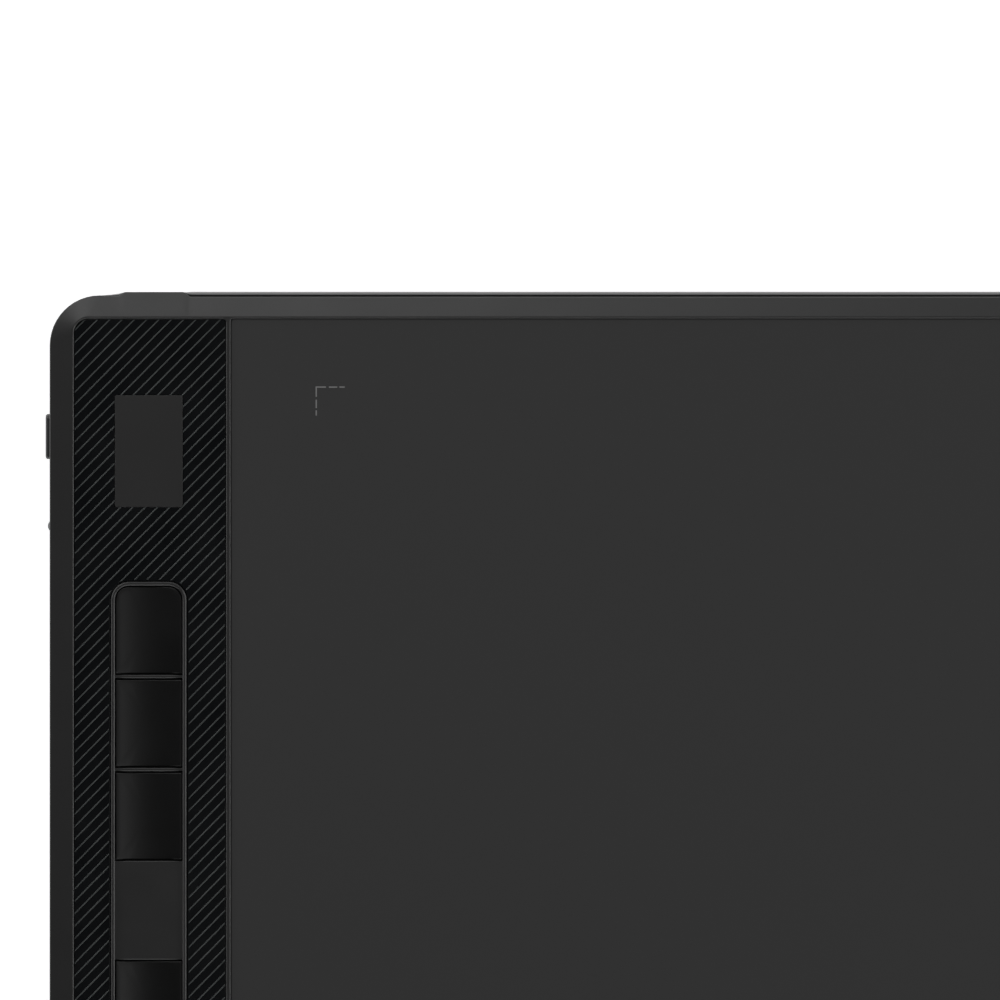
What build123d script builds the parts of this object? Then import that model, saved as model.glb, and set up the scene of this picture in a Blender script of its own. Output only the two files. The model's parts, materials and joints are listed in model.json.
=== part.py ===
from build123d import *
import os
from math import ceil, floor, sqrt

# Large pen tablet with a key strip down its left side, in millimetres.
# The case lies flat on a desk. +X runs to the right, +Y to the rear and +Z up. The origin is the centre of
# the case's outline, on the desk. Two moulded covers hold a sensor board under the drawing sheet, and a main
# board, a small display and a row of press keys under the ribbed strip at the left.

# Case, outside
case_width = 420.0
case_depth = 255.0
corner_radius = 10.4
foot_proud = 0.8
side_bezel = 5.0
rear_bezel = 4.8
bezel_drop = 1.0
bezel_edge_chamfer = 0.3
bezel_lip = 0.4
recess_corner = 3.1
recess_edge_chamfer = 0.15

# Case, walls and the joint between the two covers
skirt_wall = 1.2
tray_wall = 2.0
floor_thickness = 1.4
floor_chamfer = 1.6
parting_gap = 0.2
tongue_rise = 0.7
tongue_clearance = 0.1
rear_flare = 0.85
rear_lip = 0.2

# Drawing sheet and the plate under it
sheet_thickness = 0.5
sheet_sunk = 0.2
sheet_gap = 0.2
sheet_corner = 0.5
plate_thickness = 1.3

# Ribbed strip panel at the left
strip_width = 31.7
divider_width = 0.85
panel_thickness = 0.75
panel_gap = 0.2
panel_inner_corner = 1.0
rib_pitch = 1.805
rib_width = 0.28
rib_height = 0.2
rib_sunk = 0.25
rib_margin = 0.05
rib_margin_at_keys = 0.25

# Column that the display and the keys share
column_from_left = 20.6

# Display window and module
lens_width = 14.0
lens_length = 23.1
lens_from_rear = 20.8
lens_gap = 0.1
lens_sunk = 0.22
lens_ledge = 1.2
module_width = 17.0
module_length = 27.0
module_thickness = 1.5
gasket_thickness = 0.15

# Press keys and the frame round them
frame_from_rear = 59.35
key_count = 6
key_width = 13.7
key_length = 17.9
key_side_gap = 0.2
key_end_gap = 0.35
key_travel = 0.5
key_sunk = 0.2
key_dish = 0.6
key_land = 0.5
key_wall = 1.0
key_edge_chamfer = 0.15
key_flange = 0.6
key_flange_thickness = 0.55
key_post_size = 2.0
frame_rim = 0.9
frame_end_rim = 1.1
frame_bar = 0.7
frame_bar_sunk = 0.35
frame_corner = 3.4
frame_chamfer = 0.2
frame_flange = 1.4
frame_flange_thickness = 0.6
frame_clearance = 0.08
running_gap = 0.05

# Key switches and their board
switch_size = 6.0
switch_floor = 0.15
plunger_size = 2.4
plunger_bore_gap = 0.08
plunger_sleeve = 0.5
board_thickness = 1.0
key_board_side = 1.6
key_board_end = 4.0
board_gap = 1.8
board_post_rise = 0.4

# Port on the rear side
port_from_left = 21.7
port_margin = 0.42
port_width = 8.94
port_thickness = 3.16
port_wall = 0.3
port_depth = 7.3
port_back = 1.3
port_mouth_set_back = 0.1
port_opening_gap = 0.18
tongue_width = 6.69
tongue_thickness = 0.7
tongue_set_back = 0.6
port_tab = 1.2
port_tab_thickness = 0.3
boss_flat = 12.6
boss_run = 1.0
boss_proud = 0.7

# Power key and status light on the left side
power_from_rear = 29.3
power_length = 9.4
power_height = 2.2
power_proud = 0.95
power_travel = 0.4
power_gap = 0.12
power_flange = 0.8
power_flange_thickness = 0.7
power_edge_chamfer = 0.45
power_nub = 2.3
power_nub_size = 1.2
side_switch_length = 6.0
side_switch_depth = 3.4
side_switch_height = 1.6
side_plunger_size = 1.0
light_from_rear = 47.9
light_radius = 1.1
light_proud = 0.55
light_collar = 0.4
light_gap = 0.3
led_length = 1.6
led_depth = 1.0
led_height = 1.2

# Main board
main_board_from_left = 5.6
main_board_width = 31.0
main_board_from_rear = 3.4
post_clearance = 0.6
chip_height = 0.8
chip_gap = 0.5
controller_size = 7.0
charger_size = 4.0
memory_width = 5.0
memory_length = 4.0
radio_width = 9.0
radio_length = 8.5
radio_height = 1.6

# Sensor board, shield and battery
active_from_left = 55.4
active_from_rear = 19.1
active_width = 345.4
active_depth = 215.9
sensor_margin = 6.0
sensor_bare = 12.0
glue_gap = 0.05
shield_thickness = 0.35
rib_columns = 6
rib_rows = 4
tray_rib_width = 1.0
battery_width = 52.0
battery_length = 44.0
battery_clearance = 0.3
battery_chamfer = 0.8
battery_tape = 0.15
battery_tape_inset = 5.0
lead_width = 2.4
lead_height = 1.0
lead_from_right = 3.5
lead_bend = 12.0
lead_notch = 4.0

# Flat cables
flex_thickness = 0.15
sensor_flex_width = 14.0
key_flex_width = 6.0
display_flex_width = 8.0
connector_depth = 3.2
connector_height = 1.1
connector_set_back = 1.2
connector_side = 0.5

# Fasteners, with few sides where nobody sees them
hidden_sides = 8
seen_sides = 12
post_inset = 7.5
post_split = 4.8
tray_post_radius = 3.2
cover_post_radius = 2.6
screw_radius = 0.95
screw_hole_radius = 1.15
pilot_radius = 1.0
screw_head_radius = 1.9
screw_head_height = 1.1
screw_head_gap = 0.25
screw_head_sunk = 0.6
screw_bite = 1.6
screw_slot_width = 0.5
screw_slot_length = 2.3
screw_slot_depth = 0.5
board_screw_radius = 0.7
board_screw_head_radius = 1.4
board_screw_head_height = 0.6
board_post_radius = 1.9

# Rubber feet
foot_length = 60.0
foot_width = 9.0
foot_seat = 0.4
foot_gap = 0.1
foot_chamfer = 0.2
foot_inset_side = 46.0
foot_inset_end = 17.0

# Heights, from the desk up
floor_top = foot_proud + floor_thickness
parting_height = floor_top + port_thickness + 2 * port_margin
skirt_bottom = parting_height + parting_gap
plate_under = parting_height + tongue_rise + tongue_clearance
sheet_seat = plate_under + plate_thickness
sheet_top = sheet_seat + sheet_thickness
case_height = sheet_top + sheet_sunk
bezel_foot = case_height - bezel_drop
port_height = (floor_top + parting_height) / 2
side_middle = (foot_proud + floor_chamfer + parting_height) / 2

# Planes of the case, the strip and the sheet
left = -case_width / 2
right = case_width / 2
rear = case_depth / 2
front = -case_depth / 2
recess_left = left + side_bezel
recess_right = right - side_bezel
recess_rear = rear - rear_bezel
recess_front = front + rear_bezel
divider_left = recess_left + strip_width
divider_right = divider_left + divider_width
rib_top = case_height - rib_sunk
panel_top = rib_top - rib_height
panel_seat = panel_top - panel_thickness
column_x = left + column_from_left

# Keys, their frame and their switches
cell_length = key_length + 2 * key_end_gap
key_pitch = cell_length + frame_bar
cells = key_count + 1
frame_width = key_width + 2 * (key_side_gap + frame_rim)
frame_length = cells * key_pitch - frame_bar + 2 * frame_end_rim
frame_middle = rear - frame_from_rear - frame_length / 2
frame_under = plate_under - frame_flange_thickness
key_top = case_height - key_sunk
key_flange_top = frame_under - running_gap
key_under = key_flange_top - key_flange_thickness
key_board_rear = frame_middle + frame_length / 2 + key_board_end
key_board_front = frame_middle - frame_length / 2 - key_board_end
key_board_left = column_x - frame_width / 2 - key_board_side
key_board_right = column_x + frame_width / 2 + key_board_side
key_board_low = floor_top + board_post_rise
key_board_top = key_board_low + board_thickness
bore_floor = key_board_top + switch_floor
plunger_low = bore_floor + key_travel + running_gap
switch_top = plunger_low + plunger_sleeve
plunger_top = switch_top + key_travel

# Main board, port, power key, light and display
main_board_top = port_height
main_board_low = main_board_top - board_thickness
main_left = left + main_board_from_left
main_right = main_left + main_board_width
main_rear = rear - main_board_from_rear
main_front = key_board_rear + board_gap
port_x = left + port_from_left
port_mouth = rear + boss_proud - port_mouth_set_back
port_inner = port_mouth - port_depth
power_y = rear - power_from_rear
light_y = rear - light_from_rear
module_top = plate_under - gasket_thickness
module_low = module_top - module_thickness
lens_top = case_height - lens_sunk
lens_rear = rear - lens_from_rear
lens_front = lens_rear - lens_length
lens_middle = (lens_rear + lens_front) / 2

# Sensor board, shield and battery
active_left = left + active_from_left
active_rear = rear - active_from_rear
sensor_left = active_left - sensor_margin
sensor_right = active_left + active_width + sensor_margin
sensor_rear = active_rear + sensor_margin
sensor_front = active_rear - active_depth - sensor_margin
sensor_top = plate_under - glue_gap
sensor_low = sensor_top - board_thickness
shield_top = sensor_low - glue_gap
shield_low = shield_top - shield_thickness
tray_rib_top = shield_low - glue_gap
battery_low = floor_top + battery_tape
battery_top = shield_low - battery_clearance


def block(x_low, x_high, y_low, y_high, z_low, z_high, radius=0.0):
    """An upright block between six planes, with rounded vertical corners where a radius is given."""
    width, depth = x_high - x_low, y_high - y_low
    flat = RectangleRounded(width, depth, radius) if radius else Rectangle(width, depth)
    place = Pos((x_low + x_high) / 2, (y_low + y_high) / 2, z_low)
    return extrude(place * flat, amount=z_high - z_low)


def post(x, y, z_low, z_high, radius, sides=hidden_sides):
    """An upright post or hole, with as many sides as it needs where it is seen."""
    return extrude(Pos(x, y, z_low) * RegularPolygon(radius, sides), amount=z_high - z_low)


def square_post(x, y, z_low, z_high, size):
    """An upright square post or hole."""
    half = size / 2
    return block(x - half, x + half, y - half, y + half, z_low, z_high)


def case_outline(inset, z, rear_out=0.0):
    """The case's rounded outline at height z, drawn in by inset, with its rear side moved out by rear_out."""
    width = case_width - 2 * inset
    depth = case_depth - 2 * inset + rear_out
    return Pos(0, rear_out / 2, z) * RectangleRounded(width, depth, corner_radius - inset)


def case_prism(inset, z_low, z_high):
    """A slab with the case's outline, drawn in by inset."""
    return extrude(case_outline(inset, z_low), amount=z_high - z_low)


def slot_along_y(x, z, length_x, height, y_low, y_high):
    """A bar with full-round sides and a flat-oval section, lying along Y."""
    section = Plane.XZ * SlotOverall(length_x, height)
    return Pos(x, y_low, z) * extrude(section, amount=y_high - y_low, dir=(0, 1, 0))


def slot_along_x(y, z, length_y, height, x_low, x_high):
    """A bar with full-round ends and a flat-oval section, lying along X."""
    section = Plane.YZ * SlotOverall(length_y, height)
    return Pos(x_low, y, z) * extrude(section, amount=x_high - x_low, dir=(1, 0, 0))


def post_places():
    """Centres of the case screws: the corners, the long sides and the divider."""
    x_side, y_side = right - post_inset, rear - post_inset
    corners = [(x, y) for x in (-x_side, x_side) for y in (-y_side, y_side)]
    long_sides = [(x, y) for x in (-case_width / 6, case_width / 6) for y in (-y_side, y_side)]
    divider_x = (column_x + frame_width / 2 + sensor_left) / 2
    divider = [(divider_x, y) for y in (-case_depth / 4, case_depth / 4)]
    return corners + long_sides + divider


def main_board_post_places():
    """Centres of the screws that hold the main board."""
    inset = board_post_radius + post_clearance
    x_low = main_left + 3 * inset
    x_high = main_right - inset
    middle_y = (main_rear + main_front) / 2
    return [(x_high, main_rear - inset), (x_low, main_front + inset), (x_high, middle_y)]


def key_board_post_places():
    """Centres of the screws that hold the key board, one at each end and one under the fixed middle cell."""
    inset = key_board_end / 2 + board_post_radius / 4
    ys = (key_board_front + inset, frame_middle, key_board_rear - inset)
    return [(column_x, y) for y in ys]


def cell_middle(cell):
    """Y of a cell of the key frame, counted from the rear."""
    return frame_middle + ((cells - 1) / 2 - cell) * key_pitch


def key_cells():
    """The cells that hold a key: all but the fixed one in the middle."""
    return [cell for cell in range(cells) if cell != key_count // 2]


def slot_outline(inset_side, inset_end, z):
    """The key frame's rounded outline at height z, drawn in from the sides and the ends."""
    width = frame_width - 2 * inset_side
    length = frame_length - 2 * inset_end
    return Pos(column_x, frame_middle, z) * RectangleRounded(width, length, frame_corner - inset_side)


def cell_area(cell, inset_side, inset_end, end_gap, z):
    """One cell's outline at height z. The end cells keep the frame's round corners."""
    strip = Pos(column_x, cell_middle(cell), z) * Rectangle(frame_width, cell_length - 2 * end_gap)
    return slot_outline(inset_side, inset_end, z) & strip


def port_boss(z_low, z_high):
    """The flat-faced swelling round the port, in plan a low trapezium on the rear side."""
    half = boss_flat / 2
    root = rear - skirt_wall
    points = [
        (port_x - half - boss_run, root),
        (port_x - half - boss_run, rear),
        (port_x - half, rear + boss_proud),
        (port_x + half, rear + boss_proud),
        (port_x + half + boss_run, rear),
        (port_x + half + boss_run, root),
    ]
    return extrude(Pos(0, 0, z_low) * make_face(Polyline(*points, close=True)), amount=z_high - z_low)


def below_rear_bezel():
    """Everything under the rear bezel's slope, as wide as the port boss."""
    half = boss_flat / 2 + boss_run
    slope = bezel_drop / rear_bezel
    inner = rear - skirt_wall
    outer = rear + boss_proud
    points = [
        (inner, skirt_bottom),
        (outer, skirt_bottom),
        (outer, bezel_foot - boss_proud * slope),
        (inner, bezel_foot + skirt_wall * slope),
    ]
    section = Plane.YZ * make_face(Polyline(*points, close=True))
    return Pos(port_x - half, 0, 0) * extrude(section, amount=2 * half, dir=(1, 0, 0))


def make_top_cover():
    """The bezel, the plate under the sheet and the strip, and the short skirt that closes on the tray."""
    crown_outline = Pos(0, 0, case_height) * RectangleRounded(
        case_width - 2 * (side_bezel - bezel_lip),
        case_depth - 2 * (rear_bezel - bezel_lip),
        recess_corner + bezel_lip,
    )
    skirt_top = bezel_foot - bezel_edge_chamfer
    foot_outline = case_outline(bezel_edge_chamfer, bezel_foot)
    shell = case_prism(0, skirt_bottom, skirt_top)
    shell += loft([case_outline(0, skirt_top), foot_outline, crown_outline], ruled=True)
    shell += port_boss(skirt_bottom, case_height) & below_rear_bezel()
    shell -= case_prism(skirt_wall, skirt_bottom, plate_under)

    strip_recess = extrude(
        Pos(0, 0, panel_seat)
        * (
            Pos((recess_left + divider_left) / 2, 0)
            * RectangleRounded(strip_width, recess_rear - recess_front, panel_inner_corner)
        ),
        amount=case_height - panel_seat,
    )
    outer_corners = block(
        recess_left, recess_right, recess_front, recess_rear, panel_seat, case_height, recess_corner
    )
    sheet_recess = block(
        divider_right, recess_right, recess_front, recess_rear, sheet_seat, case_height, sheet_corner
    )
    shell -= [strip_recess & outer_corners, sheet_recess & outer_corners]
    recess_wires = shell.faces().filter_by(Plane.XY).sort_by(Axis.Z)[-1].inner_wires()
    shell = chamfer([edge for wire in recess_wires for edge in wire.edges()], recess_edge_chamfer)

    view_window = block(
        column_x - lens_width / 2 + lens_ledge,
        column_x + lens_width / 2 - lens_ledge,
        lens_front + lens_ledge,
        lens_rear - lens_ledge,
        plate_under,
        panel_seat,
    )
    key_slot = extrude(
        slot_outline(-frame_clearance, -frame_clearance, plate_under), amount=panel_seat - plate_under
    )
    shell -= [view_window, key_slot]
    for x, y in post_places():
        shell += post(x, y, post_split + running_gap, plate_under, cover_post_radius)
    for x, y in post_places():
        shell -= post(x, y, post_split, post_split + running_gap + screw_bite, pilot_radius)
    return shell


def make_bottom_cover():
    """The tray: floor, flared rear wall, tongue, posts, and the ribs that carry the sensor board."""
    sections = [
        case_outline(floor_chamfer, foot_proud, rear_flare),
        case_outline(0, foot_proud + floor_chamfer, rear_flare),
        case_outline(0, parting_height, rear_lip),
    ]
    tray = loft(sections, ruled=True)
    tray += port_boss(foot_proud + floor_chamfer, parting_height)
    tongue_inset = skirt_wall + tongue_clearance
    tray += case_prism(tongue_inset, parting_height, parting_height + tongue_rise)
    tray -= case_prism(tray_wall, floor_top, parting_height + tongue_rise)
    tray += tray_ribs()
    for x, y in post_places():
        tray += post(x, y, floor_top, post_split, tray_post_radius)
    for x, y in main_board_post_places():
        tray += post(x, y, floor_top, main_board_low, board_post_radius)
    for x, y in key_board_post_places():
        tray += post(x, y, floor_top, key_board_low, board_post_radius)

    cuts = []
    for x, y in post_places():
        head_seat = foot_proud + screw_head_sunk + screw_head_height
        cuts.append(post(x, y, 0, head_seat, screw_head_radius + screw_head_gap, seen_sides))
        cuts.append(post(x, y, head_seat, post_split, screw_hole_radius))
    for x, y in main_board_post_places():
        cuts.append(post(x, y, floor_top, main_board_low, board_screw_radius + running_gap))
    for x, y in foot_places():
        cuts.append(foot_pocket(x, y))
    opening = 2 * port_opening_gap
    cuts.append(
        slot_along_y(
            port_x, port_height, port_width + opening, port_thickness + opening,
            rear - 2 * tray_wall, rear + 2 * rear_flare,
        )
    )
    cuts.append(
        slot_along_x(
            power_y, side_middle, power_length + 2 * power_gap, power_height + 2 * power_gap,
            left - power_proud, left + 2 * tray_wall,
        )
    )
    light_hole = Plane.YZ * Circle(light_radius + running_gap)
    cuts.append(
        Pos(left - light_proud, light_y, side_middle)
        * extrude(light_hole, amount=2 * tray_wall, dir=(1, 0, 0))
    )
    return tray - cuts


def rib_lines(low, high, count):
    """Evenly spaced rib places between two edges, set in by half a pitch."""
    pitch = (high - low) / count
    return [low + pitch * (step + 0.5) for step in range(count)]


def tray_ribs():
    """An open grid of ribs under the shield, with the battery in one of its cells."""
    half = tray_rib_width / 2
    columns = rib_lines(sensor_left, sensor_right, rib_columns)
    rows = rib_lines(sensor_front, sensor_rear, rib_rows)
    ribs = [block(x - half, x + half, rows[0], rows[-1], floor_top, tray_rib_top) for x in columns]
    ribs += [block(columns[0], columns[-1], y - half, y + half, floor_top, tray_rib_top) for y in rows]
    notch = lead_notch / 2
    x, y = columns[0], lead_start_y()
    gap = block(x - half, x + half, y - notch, y + notch, floor_top, tray_rib_top)
    return (Part() + ribs) - gap


def battery_middle():
    """Centre of the grid cell that holds the battery: the first column, the middle row."""
    columns = rib_lines(sensor_left, sensor_right, rib_columns)
    rows = rib_lines(sensor_front, sensor_rear, rib_rows)
    return (columns[0] + columns[1]) / 2, (rows[1] + rows[2]) / 2


def foot_places():
    """Centres of the four feet, two along the rear and two along the front."""
    xs = (left + foot_inset_side, right - foot_inset_side)
    ys = (rear - foot_inset_end, front + foot_inset_end)
    return [(x, y) for y in ys for x in xs]


def foot_pocket(x, y):
    """The shallow pocket that a foot is stuck in."""
    half_length, half_width = foot_length / 2 + foot_gap, foot_width / 2 + foot_gap
    return block(
        x - half_length, x + half_length, y - half_width, y + half_width, foot_proud, foot_proud + foot_seat
    )


def make_foot(x, y):
    """A rubber strip with a softened lower edge, stuck in its pocket."""
    half_length, half_width = foot_length / 2, foot_width / 2
    strip = block(x - half_length, x + half_length, y - half_width, y + half_width, 0, foot_proud + foot_seat)
    return chamfer(strip.faces().sort_by(Axis.Z)[0].edges(), foot_chamfer)


def make_drawing_sheet():
    """The matt film that the pen runs on, with rounder corners at the right."""
    front_edge, rear_edge = recess_front + sheet_gap, recess_rear - sheet_gap
    right_edge = recess_right - sheet_gap
    sheet = block(
        divider_right + sheet_gap, right_edge, front_edge, rear_edge, sheet_seat, sheet_top, sheet_corner
    )
    return sheet & block(
        recess_left, right_edge, front_edge, rear_edge, sheet_seat, sheet_top, recess_corner - sheet_gap
    )


def panel_area(margin, key_margin, z):
    """The strip panel's outline at height z, drawn in by margins, less its window and its key opening."""
    width = strip_width - 2 * (panel_gap + margin)
    length = recess_rear - recess_front - 2 * (panel_gap + margin)
    plain = Pos((recess_left + divider_left) / 2, 0, z) * RectangleRounded(
        width, length, panel_inner_corner - panel_gap - margin
    )
    whole = Pos(0, 0, z) * RectangleRounded(
        case_width - 2 * (side_bezel + panel_gap + margin),
        case_depth - 2 * (rear_bezel + panel_gap + margin),
        recess_corner - panel_gap - margin,
    )
    window = Pos(column_x, lens_middle, z) * Rectangle(lens_width + 2 * lens_gap, lens_length + 2 * lens_gap)
    keys = slot_outline(-frame_clearance - key_margin, -frame_clearance - key_margin, z)
    return (plain & whole) - window - keys


def rib_strokes(z):
    """Slanting rib lines at 45 degrees, counted along the rear edge from the case's rear-left corner."""
    step = rib_pitch * sqrt(2)
    first = ceil((side_bezel + rear_bezel) / step)
    last = floor((divider_left - left + rear - recess_front) / step)
    middle_x = (recess_left + divider_left) / 2
    stroke = Rot(0, 0, 45) * Rectangle(2 * strip_width, rib_width)
    crossings = [middle_x - (left - rear + line * step) for line in range(first, last + 1)]
    return Sketch() + [Pos(middle_x, y, z) * stroke for y in crossings]


def make_striped_panel():
    """The strip's black panel with fine slanting ribs."""
    base = extrude(panel_area(0, 0, panel_seat), amount=panel_thickness)
    rib_area = panel_area(rib_margin, rib_margin_at_keys, panel_top)
    ribs = extrude(rib_area & rib_strokes(panel_top), amount=rib_height)
    return base + ribs


def make_key_frame():
    """The raised rim round the keys, with a bar between neighbours and a fixed cell in the middle."""
    rim = extrude(slot_outline(0, 0, plate_under), amount=case_height - plate_under)
    rim = chamfer(rim.faces().sort_by(Axis.Z)[-1].edges(), frame_chamfer)
    flange = extrude(slot_outline(-frame_flange, -frame_flange, frame_under), amount=frame_flange_thickness)
    frame = rim + flange
    bar_top = case_height - frame_bar_sunk
    hollow = slot_outline(frame_rim, frame_end_rim, bar_top)
    frame -= extrude(hollow, amount=frame_bar_sunk)
    for cell in key_cells():
        window = cell_area(cell, frame_rim, frame_end_rim, 0, frame_under)
        frame -= extrude(window, amount=case_height - frame_under)
    bridge_half = cell_length / 2 - key_wall
    frame -= block(
        column_x - key_width / 2 + key_wall, column_x + key_width / 2 - key_wall,
        frame_middle - bridge_half, frame_middle + bridge_half, frame_under, bar_top - key_wall,
    )
    inner_top = frame.faces().filter_by(Plane.XY).sort_by(Axis.Z)[-1].inner_wires()
    return chamfer([edge for wire in inner_top for edge in wire.edges()], frame_chamfer)


def make_press_key(cell):
    """A hollow key cap with a dished top, a retaining flange and a post over its switch."""
    side, end = frame_rim + key_side_gap, frame_end_rim + key_end_gap
    cap = extrude(cell_area(cell, side, end, key_end_gap, key_under), amount=key_top - key_under)
    cap = chamfer(cap.faces().sort_by(Axis.Z)[-1].edges(), key_edge_chamfer)
    y = cell_middle(cell)
    half_width = key_width / 2
    dish_half = half_width - key_land
    dish_radius = (dish_half**2 + key_dish**2) / (2 * key_dish)
    dish = Plane.XZ * Circle(dish_radius)
    cap -= Pos(column_x, y - key_pitch, key_top - key_dish + dish_radius) * extrude(
        dish, amount=2 * key_pitch, dir=(0, 1, 0)
    )
    flange_half_width = half_width + key_flange
    flange_half_length = key_pitch / 2 - 2 * running_gap
    cap += block(
        column_x - flange_half_width,
        column_x + flange_half_width,
        y - flange_half_length,
        y + flange_half_length,
        key_under,
        key_flange_top,
    )
    pocket_roof = key_top - key_dish - key_wall
    cap -= block(
        column_x - half_width + key_wall,
        column_x + half_width - key_wall,
        y - key_length / 2 + 2 * key_wall,
        y + key_length / 2 - 2 * key_wall,
        key_under,
        pocket_roof,
    )
    return cap + square_post(column_x, y, plunger_top, pocket_roof, key_post_size)


def make_key_plunger(cell):
    """The button of a key switch, which moves with its key."""
    return square_post(column_x, cell_middle(cell), plunger_low, plunger_top, plunger_size)


def make_key_switches():
    """The switch bodies on the key board, each with a blind bore for its button."""
    bodies = []
    for cell in key_cells():
        y = cell_middle(cell)
        body = square_post(column_x, y, key_board_top, switch_top, switch_size)
        bore = square_post(column_x, y, bore_floor, switch_top, plunger_size + 2 * plunger_bore_gap)
        bodies.append(body - bore)
    return Compound(children=bodies)


def make_key_board():
    """The long circuit board under the keys, cleared round the case posts."""
    board = block(
        key_board_left, key_board_right, key_board_front, key_board_rear, key_board_low, key_board_top
    )
    return board - board_screw_holes(key_board_post_places(), key_board_low, key_board_top)


def board_screw_holes(places, z_low, z_high):
    """Clearance holes for board screws."""
    return [post(x, y, z_low, z_high, board_screw_radius + running_gap) for x, y in places]


def make_main_board():
    """The main circuit board, with a bay for the port and a bite round the corner post."""
    board = block(main_left, main_right, main_front, main_rear, main_board_low, main_board_top)
    bay = port_width / 2 + running_gap
    board -= block(
        port_x - bay, port_x + bay, port_inner - running_gap, rear, main_board_low, main_board_top
    )
    reach = tray_post_radius + post_clearance
    board -= [post(x, y, main_board_low, main_board_top, reach) for x, y in post_places()]
    return board - board_screw_holes(main_board_post_places(), main_board_low, main_board_top)


def make_board_screws():
    """Small pan-head screws through both boards into the tray's posts."""
    screws = []
    places = [(x, y, main_board_top, main_board_low) for x, y in main_board_post_places()]
    places += [(x, y, key_board_top, key_board_top - board_thickness) for x, y in key_board_post_places()]
    for x, y, seat, under in places:
        shank = post(x, y, under, seat, board_screw_radius)
        head = post(x, y, seat, seat + board_screw_head_height, board_screw_head_radius)
        screws.append(shank + head)
    return Compound(children=screws)


def make_case_screws():
    """Cross-slotted screws from below, through the tray's posts into the top cover's."""
    seat = foot_proud + screw_head_sunk + screw_head_height
    tip = post_split + screw_bite
    low = seat - screw_head_height
    arm, thin = screw_slot_length / 2, screw_slot_width / 2
    screws = []
    for x, y in post_places():
        head = post(x, y, low, seat, screw_head_radius, seen_sides)
        cross = block(x - arm, x + arm, y - thin, y + thin, low, low + screw_slot_depth)
        cross += block(x - thin, x + thin, y - arm, y + arm, low, low + screw_slot_depth)
        screws.append(head - cross + post(x, y, seat, tip, screw_radius))
    return Compound(children=screws)


def make_display_lens():
    """The plain dark window over the display, flush in the strip."""
    half = lens_width / 2
    lens = block(column_x - half, column_x + half, lens_front, lens_rear, panel_seat, lens_top)
    return chamfer(lens.faces().sort_by(Axis.Z)[-1].edges(), lens_gap / 2)


def make_display_module():
    """The display's glass and frame, under the plate's window."""
    return block(
        column_x - module_width / 2,
        column_x + module_width / 2,
        lens_middle - module_length / 2,
        lens_middle + module_length / 2,
        module_low,
        module_top,
    )


def make_display_gasket():
    """The foam ring between the display module and the plate."""
    outer = block(
        column_x - module_width / 2, column_x + module_width / 2,
        lens_middle - module_length / 2, lens_middle + module_length / 2,
        module_top, plate_under,
    )
    return outer - block(
        column_x - lens_width / 2, column_x + lens_width / 2, lens_front, lens_rear, module_top, plate_under
    )


def make_port_shell():
    """The port's oval steel shell, with a tab on each side that is soldered to the main board."""
    shell = slot_along_y(port_x, port_height, port_width, port_thickness, port_inner, port_mouth)
    shell -= slot_along_y(
        port_x, port_height, port_width - 2 * port_wall, port_thickness - 2 * port_wall,
        port_inner, port_mouth,
    )
    tab_rear = main_rear - port_tab
    for side in (-1, 1):
        inner = port_x + side * (port_width / 2 - port_wall / 2)
        outer = port_x + side * (port_width / 2 + port_tab)
        shell += block(
            min(inner, outer), max(inner, outer), tab_rear - 2 * port_tab, tab_rear,
            main_board_top, main_board_top + port_tab_thickness,
        )
    return shell


def make_port_tongue():
    """The port's plastic back and the flat tongue that carries its contacts."""
    half, thin = tongue_width / 2, tongue_thickness / 2
    back_half_width, back_half_height = (port_width - port_thickness) / 2, port_thickness / 2 - port_wall
    back = block(
        port_x - back_half_width, port_x + back_half_width, port_inner, port_inner + port_back,
        port_height - back_half_height, port_height + back_half_height,
    )
    return back + block(
        port_x - half, port_x + half, port_inner + port_back, port_mouth - tongue_set_back,
        port_height - thin, port_height + thin,
    )


def make_power_key():
    """The power key: an oval button with a flange behind the wall and a nub over its switch."""
    inner = left + tray_wall + running_gap
    button = slot_along_x(power_y, side_middle, power_length, power_height, left - power_proud, inner)
    button = chamfer(button.faces().sort_by(Axis.X)[0].edges(), power_edge_chamfer)
    flange_half = power_length / 2 + power_flange
    button += block(
        inner, inner + power_flange_thickness, power_y - flange_half, power_y + flange_half,
        side_middle - (power_height + power_flange) / 2, side_middle + (power_height + power_flange) / 2,
    )
    return button + side_pin(inner + power_flange_thickness, power_nub_end(), power_nub_size)


def power_nub_end():
    """X of the power key's inner end, where it meets the side switch's button."""
    return left + tray_wall + running_gap + power_flange_thickness + power_nub


def side_switch_middle():
    """Height of the side switch's button."""
    return main_board_top + side_switch_height / 2


def side_switch_left():
    """X of the outer face of the side switch's body."""
    return power_nub_end() + power_travel + running_gap


def side_pin(x_low, x_high, size):
    """A square pin or bore along X at the height of the side switch's button."""
    half, middle = size / 2, side_switch_middle()
    return block(x_low, x_high, power_y - half, power_y + half, middle - half, middle + half)


def make_power_switch():
    """The side switch's body on the main board, with a blind bore for its button."""
    low, half = side_switch_left(), side_switch_length / 2
    body = block(
        low, low + side_switch_depth, power_y - half, power_y + half,
        main_board_top, main_board_top + side_switch_height,
    )
    return body - side_pin(low, low + side_switch_depth / 2, side_plunger_size + 2 * running_gap)


def make_power_plunger():
    """The side switch's button, which moves with the power key."""
    return side_pin(power_nub_end(), power_nub_end() + side_switch_depth / 2, side_plunger_size)


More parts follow.
